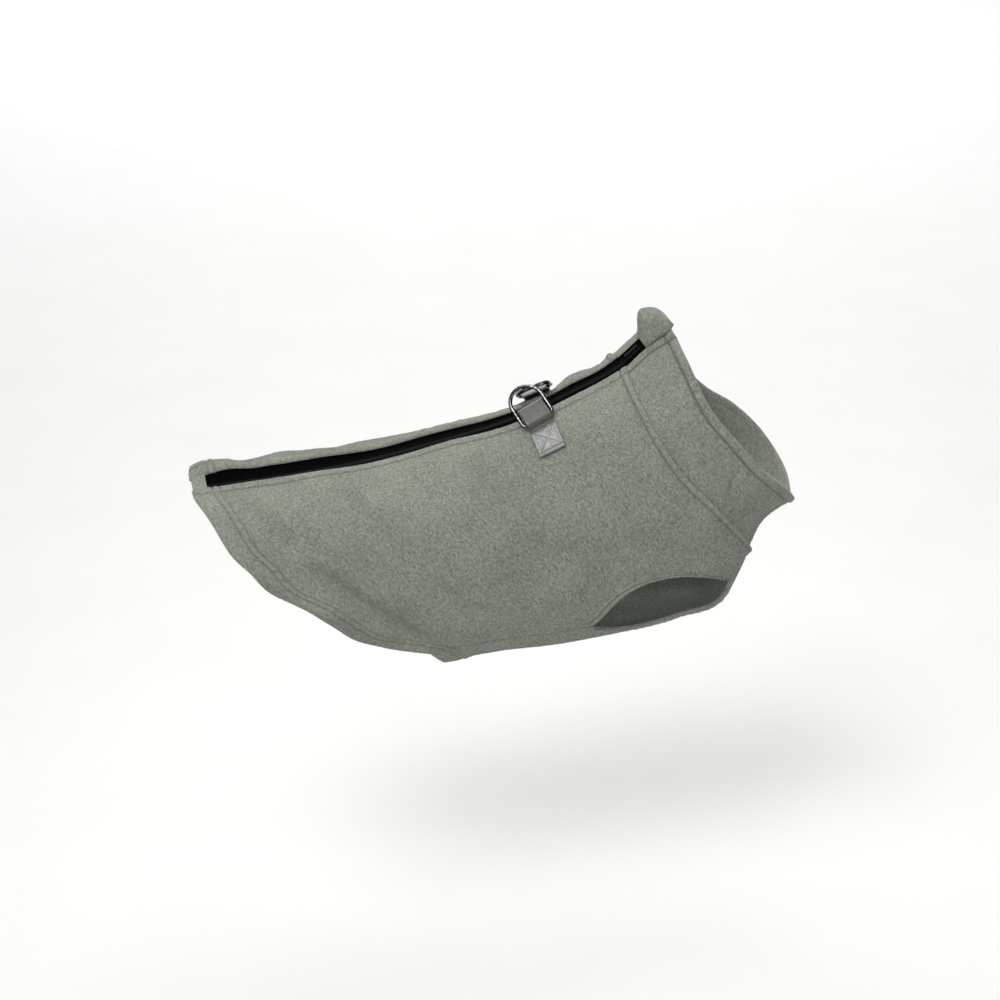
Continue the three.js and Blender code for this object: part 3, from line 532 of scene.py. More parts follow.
@dataclass(frozen=True)
class PolarFleece:
    """Polyester polar fleece: knitted, brushed and sheared, so it is matt with a pebbled nap."""

    dark: str = "#6f746c"
    mid: str = "#8b9087"
    light: str = "#a4aaa1"
    # Colour in the stitch grooves: pressed fleece, darkened further as painted shade
    pressed_and_shaded: str = "#5a5f57"
    curl_mm: float = 0.95
    clump_mm: float = 1.4
    shade_mm: float = 30.0
    brush_deg: float = 56.0
    drawn: float = 1.9

    def material(self) -> bpy.types.Material:
        """Build the material; curls of about 1 mm give the eye the fine pebbles of the nap, in the bump and as painted
        shade between them.
        """
        r = Recipe("polar_fleece_brushed")
        place = r.add("ShaderNodeTexCoord").outputs["Object"]
        brushed = r.add("ShaderNodeMapping", {"Vector": place}, vector_type="TEXTURE",
                        in_Rotation=(0.0, self.brush_deg * RAD, 0.0), in_Scale=(self.drawn, 1.0, 1.0)).outputs[0]
        curl = r.add("ShaderNodeTexVoronoi", {"Vector": brushed}, feature="SMOOTH_F1",
                     in_Scale=per_mm(self.curl_mm), in_Smoothness=0.7)
        clump = r.add("ShaderNodeTexNoise", {"Vector": brushed}, in_Scale=per_mm(self.clump_mm), in_Detail=3.0)
        shade = r.add("ShaderNodeTexNoise", {"Vector": place}, in_Scale=per_mm(self.shade_mm), in_Detail=1.0)
        broad = r.add("ShaderNodeMath", {0: shade.outputs[0], 2: clump.outputs[0]}, operation="MULTIPLY_ADD",
                      in_1=0.25)
        # Darker at the curls' edges, where the bump lies low: painted shade between the pebbles; the clump and broad
        # noise add random tone
        level = r.add("ShaderNodeMath", {0: curl.outputs["Distance"], 2: broad.outputs[0]},
                      operation="MULTIPLY_ADD", in_1=-0.45)
        colour = r.ramp(level.outputs[0], (0.15, self.dark), (0.85, self.light), (0.48, self.mid))
        # The grooves' mask mixes in the darker colour: the fleece is pressed there, and painted shade darkens it
        # further
        groove_shade = r.add("ShaderNodeAttribute", attribute_name="groove_shade")
        groove_shaded = r.add("ShaderNodeMix", {"Factor": groove_shade.outputs["Fac"], 6: colour}, data_type="RGBA",
                       in_7=linear(self.pressed_and_shaded))
        pebble = r.add("ShaderNodeBump", {"Height": curl.outputs["Distance"]}, invert=True,
                       in_Strength=0.45, in_Distance=0.0006)
        tuft = r.add("ShaderNodeBump", {"Height": clump.outputs[0], "Normal": pebble.outputs[0]},
                     in_Strength=0.35, in_Distance=0.001)
        return r.finish(groove_shaded.outputs[2], tuft.outputs[0], Roughness=0.96, Specular_IOR_Level=0.1,
                        Sheen_Weight=0.25, Sheen_Roughness=0.55, Sheen_Tint=linear("#c9cec6"))


@dataclass(frozen=True)
class ZipTapeWeave:
    """Black polyester zip tape: woven twill, flat and dry with fine ribs along the zip."""

    dark: str = "#020203"
    light: str = "#08080b"
    rib_mm: float = 1.1

    def material(self) -> bpy.types.Material:
        """Build the material; ribs of about 1.1 mm are drawn coarser than real so that they show."""
        r = Recipe("zip_tape_woven")
        place = r.add("ShaderNodeTexCoord").outputs["Object"]
        ribs = r.add("ShaderNodeTexWave", {"Vector": place}, bands_direction="DIAGONAL",
                     in_Scale=per_mm(self.rib_mm) / 20, in_Distortion=0.6, in_Detail=1.0)
        fluff = r.add("ShaderNodeTexNoise", {"Vector": place}, in_Scale=per_mm(2.2), in_Detail=3.0)
        colour = r.ramp(fluff.outputs[0], (0.3, self.dark), (0.8, self.light))
        bump = r.add("ShaderNodeBump", {"Height": ribs.outputs["Color"]}, in_Strength=0.4, in_Distance=0.0003)
        return r.finish(colour, bump.outputs[0], Roughness=0.9, Specular_IOR_Level=0.03)


@dataclass(frozen=True)
class CoilNylon:
    """Black nylon monofilament: drawn and coiled, so it is smooth with a soft shine."""

    base: str = "#030304"

    def material(self) -> bpy.types.Material:
        """Build the material; a faint unevenness of 3 mm breaks up the shine."""
        r = Recipe("nylon_coil_drawn")
        place = r.add("ShaderNodeTexCoord").outputs["Object"]
        wear = r.add("ShaderNodeTexNoise", {"Vector": place}, in_Scale=per_mm(3.0), in_Detail=2.0)
        colour = r.ramp(wear.outputs[0], (0.3, self.base), (0.8, "#09090c"))
        return r.finish(colour, Roughness=0.6, Specular_IOR_Level=0.06)


@dataclass(frozen=True)
class EnamelledZinc:
    """Black enamelled zinc: die cast and dipped, so its edges are soft and glossy."""

    base: str = "#060607"

    def material(self) -> bpy.types.Material:
        """Build the material; orange peel of 0.8 mm shows in the highlights."""
        r = Recipe("enamelled_zinc_dipped")
        place = r.add("ShaderNodeTexCoord").outputs["Object"]
        peel = r.add("ShaderNodeTexNoise", {"Vector": place}, in_Scale=per_mm(0.8), in_Detail=1.0)
        colour = r.ramp(peel.outputs[0], (0.2, self.base), (0.9, "#0e0e10"))
        bump = r.add("ShaderNodeBump", {"Height": peel.outputs[0]}, in_Strength=0.15, in_Distance=0.0002)
        return r.finish(colour, bump.outputs[0], Roughness=0.4, Specular_IOR_Level=0.25)


@dataclass(frozen=True)
class SatinWebbing:
    """Silver grey polyester webbing: flat woven in a herringbone; the shine of its puckered and folded yarns is painted
    into the colour as a painted highlight.
    """

    dark: str = "#41443f"
    mid: str = "#6a6d68"
    # Colour of the painted highlight on the shining parts
    light: str = "#acafb0"
    pick_mm: float = 1.7

    def material(self) -> bpy.types.Material:
        """Build the material on the ribbon's own UV, in millimetres; yarns of 1.7 mm give the ribs."""
        r = Recipe("polyester_webbing_woven")
        uv = r.add("ShaderNodeUVMap", uv_map="ribbon").outputs[0]
        parts = r.add("ShaderNodeSeparateXYZ", {0: uv})
        across, along = parts.outputs[0], parts.outputs[1]
        fold = r.add("ShaderNodeMath", {0: across}, operation="PINGPONG", in_1=3.2)
        slant = r.add("ShaderNodeMath", {0: fold.outputs[0], 1: along}, operation="ADD")
        yarn = r.add("ShaderNodeMath", {0: slant.outputs[0]}, operation="MULTIPLY", in_1=TAU / self.pick_mm)
        ridge = r.add("ShaderNodeMath", {0: yarn.outputs[0]}, operation="SINE")
        cord = r.add("ShaderNodeMath", {0: across}, operation="MULTIPLY", in_1=TAU / (self.pick_mm * 0.8))
        warp = r.add("ShaderNodeMath", {0: cord.outputs[0]}, operation="SINE")
        both = r.add("ShaderNodeMath", {0: ridge.outputs[0], 1: warp.outputs[0]}, operation="ADD")
        level = r.add("ShaderNodeMath", {0: both.outputs[0]}, operation="MULTIPLY_ADD", in_1=0.2, in_2=0.5)
        place = r.add("ShaderNodeTexCoord").outputs["Object"]
        slub = r.add("ShaderNodeTexNoise", {"Vector": place}, in_Scale=per_mm(2.4), in_Detail=3.0)
        mixed = r.add("ShaderNodeMath", {0: slub.outputs[0], 2: level.outputs[0]}, operation="MULTIPLY_ADD",
                      in_1=0.9)
        shade = r.add("ShaderNodeMath", {0: mixed.outputs[0]}, operation="MULTIPLY", in_1=0.55)
        # The shine mask swaps the plain colour for a lighter one in the stitched box and at the folds: painted
        # highlight
        plain = r.ramp(shade.outputs[0], (0.25, self.dark), (0.78, self.mid))
        painted_highlight = r.ramp(shade.outputs[0], (0.25, self.mid), (0.70, self.light))
        shine = r.add("ShaderNodeAttribute", attribute_name="shine")
        colour = r.add("ShaderNodeMix", {"Factor": shine.outputs["Fac"], 6: plain, 7: painted_highlight}, data_type="RGBA")
        bump = r.add("ShaderNodeBump", {"Height": level.outputs[0]}, in_Strength=0.6, in_Distance=0.0003)
        return r.finish(colour.outputs[2], bump.outputs[0], Roughness=0.38, Specular_IOR_Level=0.5, Metallic=0.2)


@dataclass(frozen=True)
class DarkNickel:
    """Steel wire with a dark nickel plate: bent, welded and tumbled, so it mirrors with fine marks."""

    base: str = "#38393d"
    # Lighter colour of the streaks along the wire: painted reflection of bright surroundings
    worn: str = "#9b9ca2"

    def material(self) -> bpy.types.Material:
        """Build the material; marks of 2 mm vary the roughness along the wire, and the same noise paints lighter and
        darker streaks into the colour as painted reflection.
        """
        r = Recipe("dark_nickel_plated")
        place = r.add("ShaderNodeTexCoord").outputs["Object"]
        scuff_and_glint = r.add("ShaderNodeTexNoise", {"Vector": place}, in_Scale=per_mm(2.0), in_Detail=4.0)
        # Painted reflection: the colour streaks between the dark plate and a lighter tone along the wire
        colour = r.ramp(scuff_and_glint.outputs[0], (0.35, self.base), (0.75, self.worn))
        rough = r.add("ShaderNodeMapRange", {"Value": scuff_and_glint.outputs[0]}, in_3=0.06, in_4=0.18)
        r.tree.links.new(rough.outputs[0], r.shader.inputs["Roughness"])
        bump = r.add("ShaderNodeBump", {"Height": scuff_and_glint.outputs[0]}, in_Strength=0.06, in_Distance=0.0002)
        return r.finish(colour, bump.outputs[0], Metallic=1.0)


@dataclass(frozen=True)
class SewingThread:
    """Spun polyester thread: two plies twisted, matt with a faint glint."""

    name: str
    dark: str
    light: str

    def material(self) -> bpy.types.Material:
        """Build the material; plies of 0.6 mm show as light and dark along each stitch."""
        r = Recipe(self.name)
        place = r.add("ShaderNodeTexCoord").outputs["Object"]
        ply = r.add("ShaderNodeTexNoise", {"Vector": place}, in_Scale=per_mm(0.6), in_Detail=1.0)
        colour = r.ramp(ply.outputs[0], (0.3, self.dark), (0.7, self.light))
        return r.finish(colour, Roughness=0.7, Specular_IOR_Level=0.3, Sheen_Weight=0.1)


# Geometry Nodes: what repeats along a path or over a surface


class Sock(Enum):
    """Socket types of a node group's inputs."""

    GEOMETRY = "NodeSocketGeometry"
    NUMBER = "NodeSocketFloat"
    WHOLE = "NodeSocketInt"
    MATERIAL = "NodeSocketMaterial"


class Grower:
    """A Geometry Nodes tree under construction, and its use on a mesh."""

    def __init__(self, name: str, inputs: dict[str, Sock]) -> None:
        """Start a tree with a geometry input, the given inputs and a geometry output."""
        self.tree = bpy.data.node_groups.new(name, "GeometryNodeTree")
        face = self.tree.interface
        face.new_socket("Geometry", in_out="OUTPUT", socket_type=Sock.GEOMETRY.value)
        face.new_socket("Geometry", in_out="INPUT", socket_type=Sock.GEOMETRY.value)
        self.ids = {
            key: face.new_socket(key, in_out="INPUT", socket_type=kind.value).identifier
            for key, kind in inputs.items()
        }
        self.start = self.tree.nodes.new("NodeGroupInput")
        self.stop = self.tree.nodes.new("NodeGroupOutput")

    def add(self, kind: str, links: dict[Any, Any] | None = None, **settings: Any) -> bpy.types.Node:
        """Add a node with its settings and links.

        Args:
            kind: Blender's name of the node type.
            links: Input socket name or number to an output socket, or to the name of a tree input.
            settings: Node properties, or input values as in_NAME.

        Returns:
            The node.
        """
        node = self.tree.nodes.new(kind)
        for key, value in settings.items():
            if key.startswith("in_"):
                tag = key[3:]
                node.inputs[int(tag) if tag.isdigit() else tag.replace("_", " ")].default_value = value
            else:
                setattr(node, key, value)
        for socket, source in (links or {}).items():
            out = self.start.outputs[source] if isinstance(source, str) else source
            self.tree.links.new(out, node.inputs[socket])
        return node

    def finish(self, instances: Any) -> None:
        """End the tree: make the instances real and give them the material input."""
        real = self.add("GeometryNodeRealizeInstances", {0: instances})
        dressed = self.add("GeometryNodeSetMaterial", {"Geometry": real.outputs[0], "Material": "Material"})
        self.tree.links.new(dressed.outputs[0], self.stop.inputs[0])

    def grow(self, name: str, source: bpy.types.Mesh, material: bpy.types.Material, **values: float) -> bpy.types.Object:
        """Run the tree on a mesh and return the result as a plain piece.

        Args:
            name: Name of the new piece.
            source: Mesh that the tree reads.
            material: Material of the result.
            values: Values of the tree's inputs.

        Returns:
            A new object at the origin that holds the evaluated mesh.
        """
        seed = bpy.data.objects.new(name + "_seed", source)
        bpy.context.collection.objects.link(seed)
        modifier = seed.modifiers.new("grow", "NODES")
        modifier.node_group = self.tree
        modifier[self.ids["Material"]] = material
        for key, value in values.items():
            modifier[self.ids[key]] = value
        graph = bpy.context.evaluated_depsgraph_get()
        mesh = bpy.data.meshes.new_from_object(seed.evaluated_get(graph), depsgraph=graph)
        mesh.name = name
        seed.modifiers.clear()
        bpy.data.objects.remove(seed)
        return link(name, mesh, material)


def stitch_tree() -> Grower:
    """Build the tree that lays one stitch after another along the edges of a mesh."""
    g = Grower("stitch_row", {"Pitch": Sock.NUMBER, "Half Length": Sock.NUMBER, "Thread": Sock.NUMBER,
                              "Material": Sock.MATERIAL})
    curve = g.add("GeometryNodeMeshToCurve", {0: "Geometry"})
    points = g.add("GeometryNodeResampleCurve", {"Curve": curve.outputs[0], "Length": "Pitch"}, mode="LENGTH")
    bead = g.add("GeometryNodeMeshUVSphere", in_Segments=6, in_Rings=5, in_Radius=1.0)
    size = g.add("ShaderNodeCombineXYZ", {0: "Half Length", 1: "Thread", 2: "Thread"})
    stitch = g.add("GeometryNodeTransform", {"Geometry": bead.outputs[0], "Scale": size.outputs[0]})
    tangent = g.add("GeometryNodeInputTangent")
    turn = g.add("FunctionNodeAlignRotationToVector", {"Vector": tangent.outputs[0]}, axis="X")
    placed = g.add("GeometryNodeInstanceOnPoints", {
        "Points": points.outputs[0], "Instance": stitch.outputs[0], "Rotation": turn.outputs[0]})
    g.finish(placed.outputs[0])
    return g


def nap_tree() -> Grower:
    """Build the tree that scatters short brushed tufts over a cloth surface."""
    g = Grower("brushed_nap", {"Density": Sock.NUMBER, "Height": Sock.NUMBER, "Root": Sock.NUMBER,
                               "Seed": Sock.WHOLE, "Material": Sock.MATERIAL})
    pile = g.add("GeometryNodeInputNamedAttribute", data_type="FLOAT", in_Name="pile")
    thinned = g.add("ShaderNodeMath", {0: "Density", 1: pile.outputs[0]}, operation="MULTIPLY")
    spread = g.add("GeometryNodeDistributePointsOnFaces", {
        "Mesh": "Geometry", "Density": thinned.outputs[0], "Seed": "Seed"}, distribute_method="RANDOM")
    spike = g.add("GeometryNodeMeshCone", {"Radius Bottom": "Root", "Depth": "Height"}, fill_type="NGON",
                  in_Vertices=3, in_Radius_Top=0.0)
    tuft = g.add("GeometryNodeSetShadeSmooth", {"Geometry": spike.outputs[0]})
    lean = g.add("FunctionNodeRandomValue", data_type="FLOAT_VECTOR", in_0=(-0.6, -0.6, -3.1), in_1=(0.6, 0.6, 3.1),
                 in_Seed=7)
    turn = g.add("FunctionNodeRotateRotation", {0: spread.outputs["Rotation"], 1: lean.outputs[0]},
                 rotation_space="LOCAL")
    size = g.add("FunctionNodeRandomValue", data_type="FLOAT", in_2=0.55, in_3=1.35, in_Seed=11)
    shorn = g.add("ShaderNodeMath", {0: size.outputs[1], 1: pile.outputs[0]}, operation="MULTIPLY")
    placed = g.add("GeometryNodeInstanceOnPoints", {
        "Points": spread.outputs["Points"], "Instance": tuft.outputs[0], "Rotation": turn.outputs[0],
        "Scale": shorn.outputs[0]})
    g.finish(placed.outputs[0])
    return g


def coil_tree() -> Grower:
    """Build the tree that sets the turns of a zip coil on both sides of a centre line."""
    g = Grower("zip_coil", {"Pitch": Sock.NUMBER, "Reach": Sock.NUMBER, "Wire": Sock.NUMBER,
                            "Material": Sock.MATERIAL})
    curve = g.add("GeometryNodeMeshToCurve", {0: "Geometry"})
    points = g.add("GeometryNodeResampleCurve", {"Curve": curve.outputs[0], "Length": "Pitch"}, mode="LENGTH")
    bead = g.add("GeometryNodeMeshUVSphere", in_Segments=8, in_Rings=6, in_Radius=1.0)
    size = g.add("ShaderNodeCombineXYZ", {0: "Wire", 1: "Reach", 2: "Wire"})
    turn_of_coil = g.add("GeometryNodeTransform", {"Geometry": bead.outputs[0], "Scale": size.outputs[0]})
    tangent = g.add("GeometryNodeInputTangent")
    turn = g.add("FunctionNodeAlignRotationToVector", {"Vector": tangent.outputs[0]}, axis="X")
    placed = g.add("GeometryNodeInstanceOnPoints", {
        "Points": points.outputs[0], "Instance": turn_of_coil.outputs[0], "Rotation": turn.outputs[0]})
    g.finish(placed.outputs[0])
    return g


def rows_mesh(name: str, rows: Sequence[Array]) -> bpy.types.Mesh:
    """Make a mesh of edges from lines of points in millimetres."""
    points, edges = [], []
    for row in rows:
        first = len(points)
        points += (np.asarray(row) * MM).tolist()
        edges += [(k, k + 1) for k in range(first, len(points) - 1)]
    mesh = bpy.data.meshes.new(name)
    mesh.from_pydata(points, edges, [])
    return mesh


# Heights across the edges of a piece


def edge_distances(points: Array) -> dict[str, Array]:
    """Return the distance of each grid point from the four edges, along the grid lines."""
    across = np.linalg.norm(np.diff(points, axis=1), axis=-1)
    along = np.linalg.norm(np.diff(points, axis=0), axis=-1)
    zero = np.zeros((points.shape[0], 1))
    top = np.concatenate((zero, np.cumsum(across, axis=1)), axis=1)
    zero = np.zeros((1, points.shape[1]))
    rear = np.concatenate((zero, np.cumsum(along, axis=0)), axis=0)
    return {"top": top, "low": top[:, -1:] - top, "rear": rear, "front": rear[-1:] - rear}


def band(distance: Array, width: float, rise: float) -> Array:
    """Return the height of a turned band: plump between the edge and its stitches, gone past them."""
    puff = 0.5 * np.sin(np.pi * np.clip(distance / width, 0, 1))
    return rise * (1 - smooth(distance, width - 0.4, width + 1.8) + puff)


def roll(distance: Array, radius: float = 1.7) -> Array:
    """Return 1 at a turned edge and 0 beyond the radius, along a quarter circle."""
    t = 1 - np.clip(distance / radius, 0, 1)
    return 1 - np.sqrt(np.maximum(1 - t * t, 0))


def groove(distance: Array, at: float, depth: float = 0.95, width: float = 0.8) -> Array:
    """Return the dip that a row of stitches pulls into the cloth."""
    return -depth * np.exp(-(((distance - at) / width) ** 2))


def pucker(distance: Array, run: Array, at: float, rise: float = 0.2, pitch: float = 6.4) -> Array:
    """Return the small waves that a stitch row gathers along its run."""
    wave = np.sin(run * TAU / pitch + 0.9 * np.sin(run / 9.7)) + 0.6 * np.sin(run * TAU / (pitch * 1.63) + 1.3)
    return rise * wave * np.exp(-(((distance - at) / 3.4) ** 2))


@dataclass
class Row:
    """A row of stitches at a distance from one edge of a piece."""

    edge: str
    at: float
    first: int = 0
    last: int | None = None
    tight: float = 1.0


@dataclass
class FleecePiece:
    """One cut of fleece, as a closed wall between two grids of points."""

    name: str
    grid: Array
    over: Callable[[dict[str, Array]], Array]
    under: Callable[[dict[str, Array]], Array]
    cut: tuple[float, float]
    cut_area: float
    rows: list[Row] = field(default_factory=list)
    held: str = "draped"

    def heights(self) -> tuple[Array, dict[str, Array]]:
        """Return the outer heights and the edge distances of the grid."""
        away = edge_distances(FORM.cloth(self.grid[..., 0], self.grid[..., 1]))
        return self.over(away), away

    def build(self, material: bpy.types.Material) -> bpy.types.Object:
        """Build the wall and return it as an object."""
        s, phi = self.grid[..., 0], self.grid[..., 1]
        high, away = self.heights()
        outer = FORM.cloth(s, phi, high)
        inner = FORM.cloth(s, phi, self.under(away))
        points = np.concatenate((outer.reshape(-1, 3), inner.reshape(-1, 3)))
        faces = outward(points, shell_faces(*s.shape))
        mesh = mesh_of(self.name, points, faces)
        # The groove mask darkens the fleece colour in the material: pressed fleece plus painted shade
        groove_shade = self.pressed_and_shaded(away)
        values = np.concatenate((groove_shade.ravel(), 0 * groove_shade.ravel()))
        mesh.attributes.new("groove_shade", "FLOAT", "POINT").data.foreach_set("value", values)
        return link(self.name, mesh, material)

    def pressed_and_shaded(self, away: dict[str, Array]) -> Array:
        """Return 1 in the grooves of the stitch rows and 0 away from them; the nap thins there and the colour darkens
        as pressed fleece plus painted shade.
        """
        groove_shade = np.zeros(self.grid.shape[:2])
        for row in self.rows:
            here = row.tight * np.exp(-(((away[row.edge] - row.at) / 0.75) ** 2))
            index = np.arange(len(groove_shade))
            if row.last is not None:
                here = here * ((index >= row.first) & (index < row.last))[:, None]
            groove_shade = np.maximum(groove_shade, here)
        return groove_shade

    def outside(self) -> bpy.types.Mesh:
        """Return the outer side alone, as the ground that the nap grows on."""
        s, phi = self.grid[..., 0], self.grid[..., 1]
        high, away = self.heights()
        outer = FORM.cloth(s, phi, high).reshape(-1, 3)
        n, m = s.shape
        faces = [f for f in shell_faces(n, m)[: (n - 1) * (m - 1)]]
        centre = np.cross(outer[faces[0][1]] - outer[faces[0][0]], outer[faces[0][3]] - outer[faces[0][0]])
        if centre @ FORM.normal(s[0, 0], phi[0, 0]) < 0:
            faces = [tuple(reversed(f)) for f in faces]
        mesh = mesh_of(self.name + "_ground", outer, faces)
        edge = np.minimum.reduce([away[key] for key in ("top", "low", "rear", "front")])
        pile = (1 - 0.9 * self.pressed_and_shaded(away)) * (0.35 + 0.65 * smooth(edge, 0, 1.2))
        mesh.attributes.new("pile", "FLOAT", "POINT").data.foreach_set("value", pile.ravel())
        return mesh

    def stitch_lines(self, lift: float = 0.12) -> list[Array]:
        """Return the lines of all stitch rows, lying in their grooves."""
        high, away = self.heights()
        lines = []
        for row in self.rows:
            distance = away[row.edge]
            across = row.edge in ("top", "low")
            places = []
            count = self.grid.shape[0 if across else 1]
            for k in range(row.first, count if row.last is None else row.last):
                d = distance[k] if across else distance[:, k]
                line = self.grid[k] if across else self.grid[:, k]
                h = high[k] if across else high[:, k]
                order = np.argsort(d)
                if d[order[-1]] < row.at:
                    continue
                s, phi, out = (np.interp(row.at, d[order], v[order]) for v in (line[:, 0], line[:, 1], h))
                places.append((s, phi, out + lift))
            place = np.array(places)
            lines.append(FORM.cloth(place[:, 0], place[:, 1], place[:, 2]))
        return lines


# Lines that neighbouring pieces share
SIDE_CELLS = spaced(90, 1.6, HEM_STEPS, ())
ARM_CELLS = np.linspace(0, 1, 61)
CHEST_CELLS = spaced(20.8, 1.5, (), PLACKET_STEPS)
ROUND_CELLS = spaced(215, 1.75, PLACKET_STEPS, PLACKET_STEPS)
BELLY_CELLS = spaced(125, 2.0, PLACKET_STEPS, PLACKET_STEPS)
ZIP_AT_NECK = 57.4


def low_edge(arm: Rows) -> Array:
    """Return the seam line of a panel below: side seam, leg opening and chest seam."""
    parts = (trace(SIDE_SEAM, SIDE_CELLS), trace(arm, ARM_CELLS)[1:], trace(CHEST_SEAM, CHEST_CELLS)[1:])
    return np.concatenate(parts)


ARM_FIRST = len(SIDE_CELLS) - 1
ARM_LAST = ARM_FIRST + len(ARM_CELLS) - 1


def arm_share(rows: int) -> Array:
    """Return 1 along the leg opening and 0 along the seams, with a short soft change."""
    i = np.arange(rows)[:, None]
    return smooth(i, ARM_FIRST - 1, ARM_FIRST + 2) * (1 - smooth(i, ARM_LAST - 2, ARM_LAST + 1))


def neck_line(start: float) -> Array:
    """Return the neck seam of a side panel, from the zip round to the chest seam."""
    rows = [{"s": float(spline(NECK, "s", start, "phi")), "phi": start}]
    rows += [row for row in NECK if start + 3 < row["phi"] <= 143]
    return trace(rows, ROUND_CELLS)


def hem_line(start: float) -> Array:
    """Return the rear hem of a side panel, from the zip round to the side seam."""
    rows = [{"s": float(spline(HEM, "s", start, "phi")), "phi": start}]
    rows += [row for row in HEM if row["phi"] > start + 3]
    return trace(rows, ROUND_CELLS)


def mirrored(rows: Rows) -> Rows:
    """Continue a line that ends on the belly's middle over to the other side."""
    return rows + [{"s": row["s"], "phi": 360 - row["phi"]} for row in rows[-2::-1]]


def chest_neck_line() -> Array:
    """Return the neck seam of the chest panel."""
    rows = [{"s": float(spline(NECK, "s", phi, "phi")), "phi": phi} for phi in (143, 155, 167, 180)]
    return trace(mirrored(rows), BELLY_CELLS)


@dataclass
class SidePanel:
    """Back and side panel, from the zip round to the side seam and the leg opening."""

    name: str
    side: int
    hem: float = 19.2
    arm: float = 6.0
    placket: float = 8.8
    neck: float = 6.0

    def piece(self) -> FleecePiece:
        """Lay out the panel's grid and heights."""
        key = "right" if self.side < 0 else "left"
        low = low_edge(ARM_TOP)
        rear_top = float(zip_angle(-242.7, key))
        rear, front = hem_line(rear_top), neck_line(float(zip_angle(ZIP_AT_NECK, key)))
        n = len(low)
        shares = fitted(300, n, HEM_STEPS, PLACKET_STEPS)
        s = rear[0, 0] + (front[0, 0] - rear[0, 0]) * shares
        top = np.stack((s, zip_angle(s, key)), -1)
        top[0], top[-1] = rear[0], front[0]
        grid = fill(top, low, rear, front)
        grid[..., 1] *= self.side
        arm_here = arm_share(n)
        phase = 0.0 if self.side < 0 else 2.1

        def over(d: dict[str, Array]) -> Array:
            edge = np.minimum(np.minimum(d["top"], d["rear"]), np.where(arm_here > 0.5, d["low"], 99))
            bands = np.maximum.reduce((
                band(d["low"], self.arm, 1.0) * arm_here, band(d["rear"], self.hem, 0.8),
                band(d["top"], self.placket, 0.55),
                band(d["front"], self.neck, 1.2) * (0.4 + 0.6 * smooth(d["top"], 3, 11))))
            rows = groove(d["rear"], self.hem - 0.8, 0.7) + groove(d["rear"], self.hem - 5.6, 0.7)
            rows = rows + groove(d["top"], self.placket - 1.0, 0.8)
            rows = rows + groove(d["low"], 4.9) * arm_here + groove(d["front"], 5.2)
            waves = pucker(d["rear"], d["top"] + phase, self.hem - 3.0, 0.3, 7.3)
            waves = waves + pucker(d["top"], d["rear"] + phase, 5.0, 0.3, 9.2)
            waves = waves + pucker(d["low"], d["rear"] + phase, 4.0, 0.2, 5.6) * arm_here
            waves = waves + pucker(d["front"], d["top"] + phase, 4.6, 0.22, 5.9)
            seam = -0.8 * np.exp(-((d["low"] / 1.3) ** 2)) * (1 - arm_here)
            turned = -0.47 * (CLOTH + 1.0) * roll(edge)
            neck_turn = -1.3 * roll(d["front"], 1.5)
            return bands + rows + waves * smooth(edge, 0.0, 2.4) + seam + turned + neck_turn

        def under(d: dict[str, Array]) -> Array:
            edge = np.minimum(np.minimum(d["top"], d["rear"]), np.where(arm_here > 0.5, d["low"], 99))
            return -CLOTH + 0.4 * CLOTH * roll(edge)

        rows = [Row("rear", self.hem - 5.6, tight=0.5), Row("rear", self.hem - 0.8, tight=0.5),
                Row("top", self.placket - 1.0, tight=0.6), Row("front", 5.2, tight=0.8),
                Row("low", 4.9, ARM_FIRST + 2, ARM_LAST - 1, 0.7)]
        return FleecePiece(self.name, grid, over, under, (0.234, 0.312), 0.0490, rows)


@dataclass
class ChestPanel:
    """Chest and belly panel between the two side panels, from the belly hem to the neck seam."""

    name: str = "fleece_chest_belly"
    hem: float = 19.2
    arm: float = 6.0
    neck: float = 6.0

    def piece(self) -> FleecePiece:
        """Lay out the panel's grid and heights."""
        left = low_edge(ARM_LOW)
        right = left * (1, -1) + (0, 360)
        grid = fill(left, right, trace(mirrored(BELLY_HEM), BELLY_CELLS), chest_neck_line())
        grid[..., 1] = np.where(grid[..., 1] > 180, grid[..., 1] - 360, grid[..., 1])
        arm_here = arm_share(len(left))

        def over(d: dict[str, Array]) -> Array:
            side = np.minimum(d["top"], d["low"])
            edge = np.minimum(d["rear"], np.where(arm_here > 0.5, side, 99))
            bands = np.maximum.reduce((
                band(side, self.arm, 1.0) * arm_here, band(d["rear"], self.hem, 0.8), band(d["front"], self.neck, 1.2)))
            rows = groove(side, 4.9) * arm_here + groove(d["front"], 5.2)
            rows = rows + groove(d["rear"], self.hem - 0.8, 0.7) + groove(d["rear"], self.hem - 5.6, 0.7)
            waves = pucker(d["rear"], d["top"], self.hem - 3.0, 0.3, 7.3) + pucker(d["front"], d["top"], 4.6, 0.2, 5.9)
            waves = waves + pucker(side, d["rear"], 4.0, 0.2, 5.6) * arm_here
            seam = -0.8 * np.exp(-((side / 1.3) ** 2)) * (1 - arm_here)
            turned = -0.47 * (CLOTH + 1.0) * roll(edge)
            return bands + rows + waves * smooth(edge, 0.0, 2.4) + seam + turned - 1.3 * roll(d["front"], 1.5)

        def under(d: dict[str, Array]) -> Array:
            side = np.minimum(d["top"], d["low"])
            edge = np.minimum(d["rear"], np.where(arm_here > 0.5, side, 99))
            return -CLOTH + 0.4 * CLOTH * roll(edge)

        rows = [Row("rear", self.hem - 5.6, tight=0.5), Row("rear", self.hem - 0.8, tight=0.5),
                Row("front", 5.2, tight=0.8), Row("top", 4.9, ARM_FIRST + 2, ARM_LAST - 1, 0.7),
                Row("low", 4.9, ARM_FIRST + 2, ARM_LAST - 1, 0.7)]
        return FleecePiece(self.name, grid, over, under, (0.137, 0.279), 0.0262, rows)


